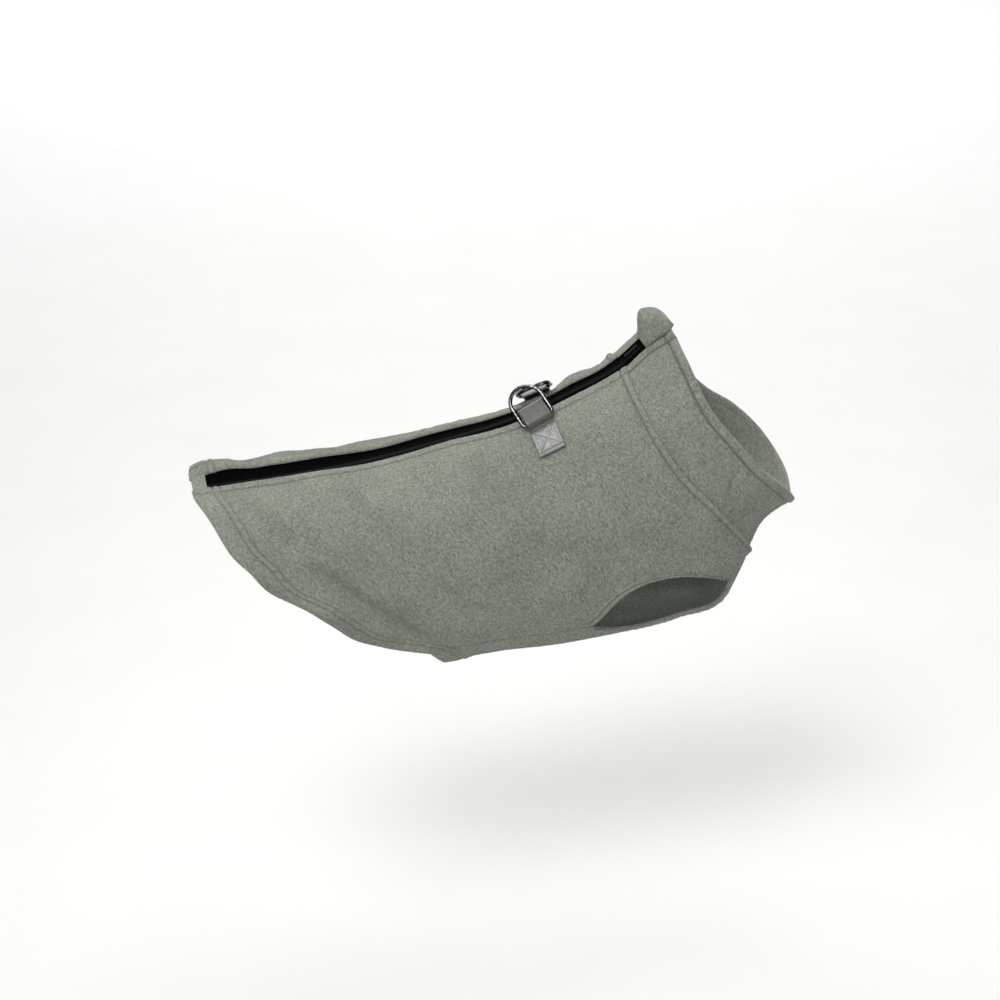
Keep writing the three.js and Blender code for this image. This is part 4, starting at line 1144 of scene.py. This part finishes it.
@dataclass
class Collar:
    """Collar of doubled fleece, one band from zip edge to zip edge that stands on the neck seam."""

    name: str = "fleece_collar"
    thick: float = 3.0
    sink: float = 0.5
    rim: float = 7.0
    rise: float = 0.8

    def piece(self) -> FleecePiece:
        """Lay out the collar's grid and heights."""
        def half(side: str) -> list[tuple[float, float, str]]:
            return [(s, phi, side) for s, phi in neck_line(float(zip_angle(ZIP_AT_NECK, side)))]

        front = [(s, 360 - phi, "right") if phi > 180 else (s, phi, "left") for s, phi in chest_neck_line()[1:-1]]
        seam = half("left") + front + half("right")[::-1]
        shares = spaced(35, 1.4, (0.7, 1.5, 2.4), RIM_STEPS)
        grid = np.zeros((len(seam), len(shares), 2))
        for i, (s0, phi0, side) in enumerate(seam):
            guess = ZIP_AT_NECK + (88 - ZIP_AT_NECK) * shares
            start = float(zip_angle(ZIP_AT_NECK, side))
            phi = 180 - (180 - phi0) * (180 - zip_angle(guess, side)) / (180 - start)
            s = s0 + (spline(RIM, side, phi, "phi") - s0) * shares
            grid[i, :, 0], grid[i, :, 1] = s, phi if side == "left" else -phi

        def over(d: dict[str, Array]) -> Array:
            ends = np.minimum(d["rear"], d["front"])
            edge = np.minimum(d["low"], ends)
            low = -0.4 * (1 - smooth(d["top"], 2, 8))
            bands = np.maximum(band(d["low"], self.rim, self.rise), band(ends, 8.4, self.rise * 0.6))
            rows = groove(d["low"], 6.6, 1.1) + groove(ends, 7.6)
            waves = pucker(d["low"], d["rear"], 5.4, 0.3, 8.2) + pucker(ends, d["top"], 4.0, 0.2)
            turned = -0.47 * (self.thick + self.rise) * roll(edge, 2.0)
            return -self.sink + low + bands + rows + waves * smooth(edge, 0, 2.4) + turned

        def under(d: dict[str, Array]) -> Array:
            ends = np.minimum(d["rear"], d["front"])
            thin = 1.5 * (1 - smooth(ends, 8, 16))
            edge = np.minimum(d["low"], ends)
            dip = -groove(d["low"], 6.6, 0.35)
            return -self.thick - self.sink + thin + dip + 0.42 * (self.thick - thin) * roll(edge, 2.0)

        return FleecePiece(self.name, grid, over, under, (0.059, 0.448), 0.0198,
                           [Row("low", 6.6), Row("rear", 7.6), Row("front", 7.6)])


def back_strip(name: str, run: tuple[float, float], steps: int, edges: tuple[Callable, Callable], shares: Array,
               under: Callable, over: Callable) -> FleecePiece:
    """Lay out a strip along the back between two distances from the centre line.

    Args:
        name: Name of the piece.
        run: First and last place along the back line.
        steps: Number of cells along it.
        edges: Two functions that give the edges' distances from the centre line.
        shares: Places of the lines between the two edges.
        under: Heights of the inner side.
        over: Heights of the outer side.

    Returns:
        The strip as a piece.
    """
    s = np.linspace(run[0], run[1], steps + 1)[:, None]
    y = edges[0](s) + (edges[1](s) - edges[0](s)) * shares[None, :]
    s = np.broadcast_to(s, y.shape)
    return FleecePiece(name, np.stack((s, FORM.angle_at(s, y)), -1), over, under, (0, 0), 0)


@dataclass
class Zip:
    """Zip along the back: two woven tapes and a closed coil, with a fleece piece at the tail."""

    sink: float = 2.8
    thick: float = 0.9
    start: float = -232.0
    stop: float = 84.0
    under_placket: float = 5.0
    split: float = 0.4
    wire: float = 0.4
    turn: float = 1.55
    pitch: float = 1.5

    def tape(self, name: str, side: int) -> FleecePiece:
        """Lay out one tape: flat under the placket, with a soft welt beside the coil."""
        key = "right" if side < 0 else "left"
        shares = np.array((0, 0.02, 0.15, 0.3, 0.45, 0.6, 0.72, 0.8, 0.86, 0.92, 0.98, 1.0))
        level = -self.sink - 0.08 + 0.28 * np.exp(-(((shares - 0.74) / 0.07) ** 2))[None, :]
        return back_strip(
            name, (self.start - 3.0, self.stop), 212,
            (lambda s: side * (spline(ZIP_EDGE, key, s) + self.under_placket), lambda s: side * self.split + 0 * s),
            shares, lambda d: -self.sink - self.thick + 0 * d["top"], lambda d: level + 0 * d["top"])

    def core(self, name: str) -> FleecePiece:
        """Lay out the cord that runs through the coil."""
        shares = np.linspace(0, 1, 9)
        crown = 0.5 * np.sin(np.pi * (0.08 + 0.84 * shares))[None, :]
        return back_strip(
            name, (self.start + 1, self.stop - 1), 200, (lambda s: -2.6 + 0 * s, lambda s: 2.6 + 0 * s), shares,
            lambda d: 0.3 - self.sink + 0 * d["top"], lambda d: 0.35 - self.sink + crown + 0 * d["top"])

    def coil_lines(self) -> list[Array]:
        """Return the two lines on which the coil's turns sit."""
        lines = []
        for side, shift in ((-1, 0.0), (1, self.pitch / 2)):
            s = np.arange(self.start + 2 + shift, self.stop - 3, 3.0)
            lines.append(FORM.cloth(s, FORM.angle_at(s, side * 1.2 + 0 * s), 0.75 - self.sink + 0 * s))
        return lines

    def end_tab(self, name: str) -> FleecePiece:
        """Lay out the short fleece piece that closes the tail end between the plackets."""
        shares = spaced(16, 0.8, (0.3, 0.8, 1.5), (0.3, 0.8, 1.5))

        def over(d: dict[str, Array]) -> Array:
            edge = np.minimum(d["rear"], d["front"])
            return -0.3 + 0.5 * smooth(d["rear"], 0, 3) - 0.45 * 2.3 * roll(edge, 1.2) + groove(d["front"], 2.6, 0.3)

        return back_strip(
            name, (-241.6, self.start + 0.2), 22,
            (lambda s: -spline(ZIP_EDGE, "right", s) + 0.1, lambda s: spline(ZIP_EDGE, "left", s) - 0.1), shares,
            lambda d: -CLOTH - 0.6 + 0.4 * 2.3 * roll(np.minimum(d["rear"], d["front"]), 1.2), over)


@dataclass
class Garage:
    """Fold of fleece that stands over the neck end of the zip."""

    name: str = "fleece_zip_garage"
    run: tuple[float, float] = (72.0, 90.4)
    reach: tuple[float, float] = (-9.9, 13.4)
    height: float = 16.8

    def piece(self) -> FleecePiece:
        """Lay out the fold's dome and the hollow under it."""
        shares = np.linspace(0, 1, 41)
        steps = 34
        u, v = np.linspace(0, 1, steps + 1)[:, None], shares[None, :]
        dome = np.sin(np.pi * np.clip(v * 0.96 + 0.02, 0, 1)) ** 0.62
        rise = smooth(u, -0.17, 0.62) * np.sqrt(1 - (np.maximum(u - 0.42, 0) / 0.6) ** 2)
        crest = 1.4 + self.height * dome * rise
        dents = 0.12 * np.sin(v * 9 + u * 4) * np.sin(u * 5 + 0.6) * dome

        def over(d: dict[str, Array]) -> Array:
            edge = np.minimum(np.minimum(d["rear"], d["front"]), np.minimum(d["top"], d["low"]))
            return crest + dents - 1.1 * roll(edge, 2.2)

        def under(d: dict[str, Array]) -> Array:
            return np.maximum(0.4, crest - 4.6)

        def share(s: Array) -> Array:
            far = np.abs(2 * (s - self.run[0]) / (self.run[1] - self.run[0]) - 0.95)
            return 1 - 0.16 * np.clip(far, 0, 1) ** 4

        return back_strip(self.name, self.run, steps,
                          (lambda s: self.reach[0] * share(s), lambda s: self.reach[1] * share(s)), shares, under, over)


# Webbing and metal


@dataclass
class RingTab:
    """Webbing tab on one side of the zip, folded round the bar of a D-ring."""

    side: int
    station: float = -5.5
    angle: float = 16.5
    skew: float = 12.0
    lower: float = 22.6
    loop: float = 17.6
    width: float = 19.0
    layer: float = 1.3
    lift: float = 0.8
    wire: float = 2.8
    ring_width: float = 26.0
    ring_height: float = 29.5
    ring_corner: float = 2.3
    bar_from_stitch: float = 4.4
    bar_clear: float = 0.35

    def __post_init__(self) -> None:
        """Work out the tab's frame at its first stitch line."""
        if self.side > 0:
            self.station += 8.5
        angle = self.side * self.angle
        here = FORM.point(self.station, angle)
        self.per_s = 1 / np.linalg.norm(FORM.point(self.station + 1, angle) - here)
        right = FORM.point(self.station, self.angle)
        self.per_phi = 1 / np.linalg.norm(FORM.point(self.station, self.angle + 1) - right)
        self.origin = self.on_cloth(0.0, 0.0, 0.0)
        self.along = unit(self.on_cloth(5.0, 0.0, 0.0) - self.on_cloth(-5.0, 0.0, 0.0))
        rough = unit(self.on_cloth(0.0, -2.0, 0.0) - self.on_cloth(0.0, 2.0, 0.0))
        out = FORM.normal(self.station, angle)
        up = unit(rough - self.along * (rough @ self.along))
        out = out - self.along * (out @ self.along)
        out = unit(out - up * (out @ up))
        lift = (21 if self.side < 0 else 6) * RAD
        self.up = up * math.cos(lift) + out * math.sin(lift)
        self.away = out * math.cos(lift) - up * math.sin(lift)
        self.bar_height = self.lift + self.layer + self.wire / 2 + self.bar_clear

    def on_cloth(self, w: Array, q: Array, out: Array) -> Array:
        """Return points of the sewn length: w along the bar, q down the panel, out of the cloth."""
        skew = self.skew * RAD
        s = self.station + np.asarray(w) * math.cos(skew) * self.per_s
        phi = self.angle + (np.asarray(q) - np.asarray(w) * math.sin(skew)) * self.per_phi
        folds = FORM.fold(s, self.side * phi)
        small = WornForm(folds=tuple(CREASES)).fold(s, self.side * phi)
        point = FORM.point(s, self.side * phi)
        return point + FORM.normal(s, self.side * phi) * (folds - small + np.asarray(out, float))[..., None]

    def place(self, w: Array, q: Array, out: Array) -> Array:
        """Return points of the whole tab: on the cloth below the stitch line, straight above it."""
        w, q, out = np.broadcast_arrays(np.asarray(w, float), np.asarray(q, float), np.asarray(out, float))
        sewn = self.on_cloth(w, -np.minimum(q, 0), out)
        free = self.origin + self.along * w[..., None] + self.up * q[..., None] + self.away * out[..., None]
        return np.where((q < 0)[..., None], sewn, free)

    def path(self) -> Array:
        """Return the closed line of the webbing's middle in (q, out), smoothed."""
        flat_low, flat_top = self.lift + 0.66, self.lift + 1.96
        bump = self.bar_height + self.wire / 2 + self.bar_clear + 0.65
        knots = [(-self.lower + 1.2, flat_low), (-16, flat_low), (-9, flat_low), (-3, flat_low), (3, flat_low),
                 (9, flat_low), (self.loop - 1.7, flat_low + 0.05), (self.loop - 0.75, flat_low + 0.5),
                 (self.loop - 0.75, flat_low + 1.5), (self.loop - 1.9, flat_low + 2.4), (13, bump - 1.55),
                 (9, bump - 0.5), (6.2, bump), (3.6, bump - 0.05), (2.0, bump - 1.3), (0.6, flat_top + 0.25),
                 (-1.5, flat_top), (-6, flat_top), (-12, flat_top), (-18, flat_top),
                 (-self.lower + 2.6, flat_top + 0.25), (-self.lower + 1.0, flat_top + 0.35),
                 (-self.lower + 0.55, flat_top - 0.35)]
        p = np.array(knots, float)
        n = len(p)
        t = np.linspace(0, 1, 8, endpoint=False)[None, :, None]
        p0, p1, p2, p3 = (np.roll(p, k, axis=0)[:, None] for k in (1, 0, -1, -2))
        curve = 0.5 * (2 * p1 + (p2 - p0) * t + (2 * p0 - 5 * p1 + 4 * p2 - p3) * t**2
                       + (3 * p1 - p0 - 3 * p2 + p3) * t**3)
        return curve.reshape(n * 8, 2)

    def stitch_runs(self) -> list[Array]:
        """Return the sewn lines in (w, q): a zigzag under the ring and a box with a cross below."""
        zig = [(-8.6 + 0.9 * k, -0.7 - (1.7 if k % 2 else 0.0)) for k in range(20)]
        low, high, half = -self.lower + 3.0, -4.6, 7.6
        box = [(-half, high), (half, high), (half, low), (-half, low), (-half, high), (half, low)]
        return [np.array(zig), np.array(box), np.array([(half, high), (-half, low)])]

    def webbing(self, name: str, material: bpy.types.Material) -> bpy.types.Object:
        """Build the webbing as one closed ribbon with its own UV in millimetres."""
        path = self.path()
        tangent = np.roll(path, -1, axis=0) - np.roll(path, 1, axis=0)
        tangent = unit(tangent)
        side = np.stack((tangent[:, 1], -tangent[:, 0]), -1)
        half = self.width / 2
        w = np.concatenate(([-half, -half + 0.12, -half + 0.4], np.linspace(-half + 1, half - 1, 25),
                            [half - 0.4, half - 0.12, half]))
        thick = 0.6 * np.sqrt(np.clip(1 - np.clip((np.abs(w) - half + 0.6) / 0.62, 0, 1) ** 2, 0.02, 1))
        thick[np.abs(w) > half - 0.05] *= 0.35
        count, across = len(path), len(w)
        length = np.concatenate(([0], np.cumsum(np.linalg.norm(np.diff(path, axis=0), axis=1))))
        layers = []
        for sign in (1, -1):
            q = path[:, 0][:, None] + sign * side[:, 0][:, None] * thick[None, :]
            out = path[:, 1][:, None] + sign * side[:, 1][:, None] * thick[None, :]
            if sign > 0:
                out = out + self.dent(w[None, :], q) * ((path[:, 1] > self.lift + 1.6)[:, None])
            layers.append(self.place(np.broadcast_to(w, q.shape), q, out))
        points = np.stack(layers, 1).reshape(count, 2 * across, 3)
        ring = list(range(across)) + list(range(2 * across - 1, across - 1, -1))
        faces, spots = [], []
        for i in range(count):
            for j in range(2 * across):
                a, b = ring[j], ring[(j + 1) % (2 * across)]
                nxt = (i + 1) % count
                faces.append((i * 2 * across + a, i * 2 * across + b, nxt * 2 * across + b, nxt * 2 * across + a))
                spots.append((a, b, i))
        turned = outward(points, faces)
        flipped = turned is not faces
        mesh = mesh_of(name, points, turned)
        q_all = np.broadcast_to(path[:, :1], (count, across))
        # Painted highlight: the stitched box and the folds at both ends get the lighter colour through the shine mask
        top = (path[:, 1] > self.lift + 1.4)[:, None]
        in_box = smooth(q_all, -self.lower + 1.5, -self.lower + 3.5) * (1 - smooth(q_all, -5.5, -3.5)) * top
        folds = np.maximum(smooth(q_all, self.loop - 1.9, self.loop - 0.9), 1 - smooth(q_all, -self.lower + 0.9, -self.lower + 1.9))
        shine = np.clip(np.maximum(in_box * 0.85, folds), 0, 1)
        values = np.stack((shine, shine), 1).reshape(-1)
        mesh.attributes.new("shine", "FLOAT", "POINT").data.foreach_set("value", values)
        uv = mesh.uv_layers.new(name="ribbon")
        values = []
        for a, b, i in spots:
            far = length[i + 1] if i + 1 < count else length[-1] + 0.5
            corner = [(w[a % across], length[i]), (w[b % across], length[i]), (w[b % across], far), (w[a % across], far)]
            values += corner[::-1] if flipped else corner
        uv.data.foreach_set("uv", np.array(values, float).ravel())
        return link(name, mesh, material)

    def dent(self, w: Array, q: Array) -> Array:
        """Return how far the stitch rows pull the top layer in."""
        w, q = np.broadcast_arrays(w, q)
        pull = np.zeros(w.shape)
        for run in self.stitch_runs():
            for (w0, q0), (w1, q1) in zip(run[:-1], run[1:]):
                d = np.array((w1 - w0, q1 - q0))
                t = np.clip(((w - w0) * d[0] + (q - q0) * d[1]) / (d @ d), 0, 1)
                gap = np.hypot(w - w0 - t * d[0], q - q0 - t * d[1])
                pull = np.maximum(pull, np.exp(-((gap / 0.8) ** 2)))
        centre = (-self.lower - 1.6) / 2
        radius, turn = np.hypot(w, q - centre), np.arctan2(q - centre, w)
        rays = np.cos(17 * turn + 0.6 * np.sin(3 * turn)) * smooth(radius, 1.0, 4.0) * (1 - smooth(radius, 8.0, 12.0))
        return -0.3 * pull + 0.16 * rays

    def stitch_lines(self) -> list[Array]:
        """Return the sewn lines on top of the webbing."""
        top = self.lift + 2 * self.layer + 0.02
        lines = []
        for run in self.stitch_runs():
            steps = [np.linspace(a, b, max(2, int(np.linalg.norm(b - a) / 0.7)), endpoint=False)
                     for a, b in zip(run[:-1], run[1:])]
            flat = np.concatenate(steps + [run[-1:]])
            lines.append(self.place(flat[:, 0], flat[:, 1], top + 0 * flat[:, 0]))
        return lines

    def ring(self, name: str, material: bpy.types.Material) -> bpy.types.Object:
        """Build the D-ring: one round wire with a straight bar, two legs and a round end."""
        half, tall = (self.ring_width - self.wire) / 2, self.ring_height - self.wire
        r = self.ring_corner

        def arc(cx: float, cy: float, radius: float, start: float, stop: float, count: int) -> list[tuple[float, float]]:
            turn = np.linspace(start, stop, count) * RAD
            return list(zip(cx + radius * np.cos(turn), cy + radius * np.sin(turn)))

        line = [(x, 0.0) for x in np.linspace(-half + r, half - r, 12)[1:-1]]
        line += arc(half - r, r, r, -90, 0, 9)
        line += [(half, y) for y in np.linspace(r, tall - half, 6)[1:-1]]
        line += arc(0, tall - half, half, 0, 180, 44)
        line += [(-half, y) for y in np.linspace(tall - half, r, 6)[1:-1]]
        line += arc(-half + r, r, r, 180, 270, 9)
        p = np.array(line)
        t = unit(np.roll(p, -1, axis=0) - np.roll(p, 1, axis=0))
        turn = np.linspace(0, TAU, 16, endpoint=False)
        level = np.broadcast_to(self.wire / 2 * np.sin(turn), (len(p), 16))
        spread = self.wire / 2 * np.cos(turn)[None, :]
        x = p[:, :1] + t[:, 1:] * spread
        y = p[:, 1:] - t[:, :1] * spread
        points = self.origin + self.along * x[..., None] + self.up * (self.bar_from_stitch + y)[..., None]
        points = points + self.away * (self.bar_height + level)[..., None]
        n = len(p)
        faces = [(i * 16 + k, (i + 1) % n * 16 + k, (i + 1) % n * 16 + (k + 1) % 16, i * 16 + (k + 1) % 16)
                 for i in range(n) for k in range(16)]
        return link(name, mesh_of(name, points, outward(points, faces)), material)


@dataclass
class Studio:
    """Pale floor, soft lights and the camera."""

    distance_mm: float = 1630.0
    lens_mm: float = 85.0
    behind: float = 12.0
    above: float = 24.0
    position_mm: tuple[float, float, float] = (-342.3, -1477.4, 605.3)
    floor_mm: float = -420.0

    def camera(self) -> None:
        """Place the camera at the angle of the reference view."""
        data = bpy.data.cameras.new("studio_camera")
        data.lens, data.sensor_width = self.lens_mm, 36.0
        data.clip_start, data.clip_end = 0.05, 30.0
        camera = bpy.data.objects.new("studio_camera", data)
        a, e = self.behind * RAD, self.above * RAD
        right = Vector((math.cos(a), -math.sin(a), 0))
        up = Vector((math.sin(a) * math.sin(e), math.cos(a) * math.sin(e), math.cos(e)))
        back = Vector((-math.sin(a) * math.cos(e), -math.cos(a) * math.cos(e), math.sin(e)))
        turn = Matrix((right, up, back)).transposed().to_4x4()
        camera.matrix_world = Matrix.Translation(Vector(self.position_mm) * MM) @ turn
        bpy.context.collection.objects.link(camera)
        bpy.context.scene.camera = camera

    def lamp(self, name: str, place: tuple[float, float, float], size: float, power: float, colour: str,
             aim: tuple[float, float, float] = (0.0, 0.0, -0.06), beam: float = 180.0) -> None:
        """Hang a square soft light that faces the vest.

        Args:
            name: Name of the light.
            place: Its place in metres.
            size: Side of its square in metres.
            power: Strength in watts.
            colour: Light colour as sRGB hex.
            aim: Point in metres that it faces.
            beam: Width of its beam in degrees, which a grid before the box sets.
        """
        data = bpy.data.lights.new(name, "AREA")
        data.size, data.energy, data.color = size, power, linear(colour)[:3]
        data.spread = beam * RAD
        obj = bpy.data.objects.new(name, data)
        obj.location = place
        obj.rotation_euler = (Vector(aim) - Vector(place)).to_track_quat("-Z", "Y").to_euler()
        bpy.context.collection.objects.link(obj)

    def build(self) -> None:
        """Light the scene and lay the floor."""
        world = bpy.data.worlds.new("studio_light")
        world.use_nodes = True
        ground = world.node_tree.nodes["Background"]
        ground.inputs["Color"].default_value = linear("#f4f5f6")
        ground.inputs["Strength"].default_value = 0.27
        bpy.context.scene.world = world
        bpy.context.scene.view_settings.view_transform = "Standard"
        self.lamp("key", (-0.75, -0.95, 1.5), 0.9, 3.5, "#fffcf6", beam=62.0)
        self.lamp("top", (0.0, 0.35, 1.7), 1.1, 8.0, "#fffdf9")
        self.lamp("fill", (-1.6, -1.05, 0.3), 1.0, 0.95, "#f6f8ff", beam=62.0)
        self.lamp("side", (1.5, -1.0, 0.2), 0.9, 1.0, "#ffffff", beam=62.0)
        self.lamp("floor_wash", (0.6, 3.2, 2.6), 2.6, 110.0, "#ffffff", (0.6, 3.0, -0.4))
        reach, z = 6.0, self.floor_mm * MM
        mesh = bpy.data.meshes.new("floor")
        mesh.from_pydata([(-reach, -reach, z), (reach, -reach, z), (reach, reach, z), (-reach, reach, z)], [],
                         [(0, 1, 2, 3)])
        paper = Recipe("painted_board_rolled")
        place = paper.add("ShaderNodeTexCoord").outputs["Object"]
        grain = paper.add("ShaderNodeTexNoise", {"Vector": place}, in_Scale=9.0)
        colour = paper.ramp(grain.outputs[0], (0.3, "#f4f4f3"), (0.7, "#f6f6f5"))
        link("studio_floor", mesh, paper.finish(colour, Roughness=0.9))


@dataclass
class Finishes:
    """All finishes of the vest, made once."""

    def __post_init__(self) -> None:
        """Make the materials."""
        self.fleece = PolarFleece().material()
        self.tape = ZipTapeWeave().material()
        self.coil = CoilNylon().material()
        self.enamel = EnamelledZinc().material()
        self.webbing = SatinWebbing().material()
        self.nickel = DarkNickel().material()
        self.seam_thread = SewingThread("sewing_thread_sage", "#686d65", "#868b82").material()
        self.tab_thread = SewingThread("sewing_thread_grey", "#6d7070", "#a4a7a7").material()


@dataclass
class Vest:
    """The whole vest: cloth, zip, tabs and rings."""

    body: str = "vest"
    nap_per_m2: float = 740000.0

    def __post_init__(self) -> None:
        """Make the finishes and the trees that repeat small shapes."""
        self.finishes = Finishes()
        self.stitches = stitch_tree()
        self.nap = nap_tree()
        self.coil = coil_tree()
        self.seams: list[Array] = []

    def own(self, obj: bpy.types.Object, nodes: Sequence[str] = (), body: str | None = None) -> None:
        """Hand a finished piece to its body and nodes, and report it."""
        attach(obj, body or self.body)
        if nodes:
            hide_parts(*nodes)
        LOG.info("%s: %d faces on %s", obj.name, len(obj.data.polygons), body or self.body)

    def cloth(self, piece: FleecePiece, node: str, seed: int, nap: bool = True) -> bpy.types.Object:
        """Build one fleece piece with its nap and keep its stitch rows for the thread."""
        obj = piece.build(self.finishes.fleece)
        self.own(obj, (node,))
        self.seams += piece.stitch_lines()
        if nap:
            tufts = self.nap.grow(
                piece.name + "_nap", piece.outside(), self.finishes.fleece, Density=self.nap_per_m2,
                Height=0.5 * MM, Root=0.3 * MM, Seed=seed)
            self.own(tufts)
        return obj

    def build(self) -> None:
        """Build every piece in sewing order."""
        cuts = (
            (SidePanel("fleece_back_right", -1).piece(), "back_right", 3),
            (SidePanel("fleece_back_left", 1).piece(), "back_left", 4),
            (ChestPanel().piece(), "chest_belly", 5),
            (Collar().piece(), "collar", 6),
        )
        for piece, node, seed in cuts:
            obj = self.cloth(piece, node, seed)
        zipper = Zip()
        self.cloth(zipper.end_tab("fleece_zip_end_tab"), "zip_end_tab", 8)
        self.cloth(Garage().piece(), "zip_garage", 9)
        for side, key in ((-1, "right"), (1, "left")):
            tape = zipper.tape(f"zip_tape_{key}_woven", side).build(self.finishes.tape)
            self.own(tape, (f"zip_tape_{key}",))
        core = zipper.core("zip_coil_core").build(self.finishes.coil)
        self.own(core, ("zip_chain",))
        turns = self.coil.grow("zip_coil_turns", rows_mesh("coil_lines", zipper.coil_lines()), self.finishes.coil,
                               Pitch=zipper.pitch * MM, Reach=zipper.turn * MM, Wire=zipper.wire * MM)
        self.own(turns)
        bpy.data.objects["zip_slider"].material_slots[0].material = self.finishes.enamel
        tab_lines: list[Array] = []
        for side, key in ((-1, "right"), (1, "left")):
            tab = RingTab(side)
            self.own(tab.webbing(f"webbing_tab_{key}", self.finishes.webbing), (f"tab_{key}",))
            tab_lines += tab.stitch_lines()
            ring = tab.ring(f"d_ring_wire_{key}", self.finishes.nickel)
            self.own(ring, (f"ring_{key}",), f"d_ring_{key}")
        self.sew("thread_on_fleece", self.seams, self.finishes.seam_thread, 2.9, 1.15, 0.2)
        self.sew("thread_on_tabs", tab_lines, self.finishes.tab_thread, 1.7, 0.8, 0.22)

    def sew(self, name: str, lines: Sequence[Array], thread: bpy.types.Material, pitch: float,
            half: float, radius: float) -> None:
        """Lay stitches along lines.

        Args:
            name: Name of the piece of thread.
            lines: Lines of points in millimetres.
            thread: Material of the thread.
            pitch: Distance between stitches in millimetres.
            half: Half the length of a stitch.
            radius: Radius of the thread.
        """
        obj = self.stitches.grow(name, rows_mesh(name + "_lines", lines), thread, Pitch=pitch * MM,
                                 **{"Half Length": half * MM, "Thread": radius * MM})
        self.own(obj)


def main() -> None:
    """Load the frame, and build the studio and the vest."""
    logging.basicConfig(level=logging.INFO, format="%(name)s %(message)s")
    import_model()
    studio = Studio()
    studio.camera()
    studio.build()
    Vest().build()


if __name__ == "__main__":
    main()
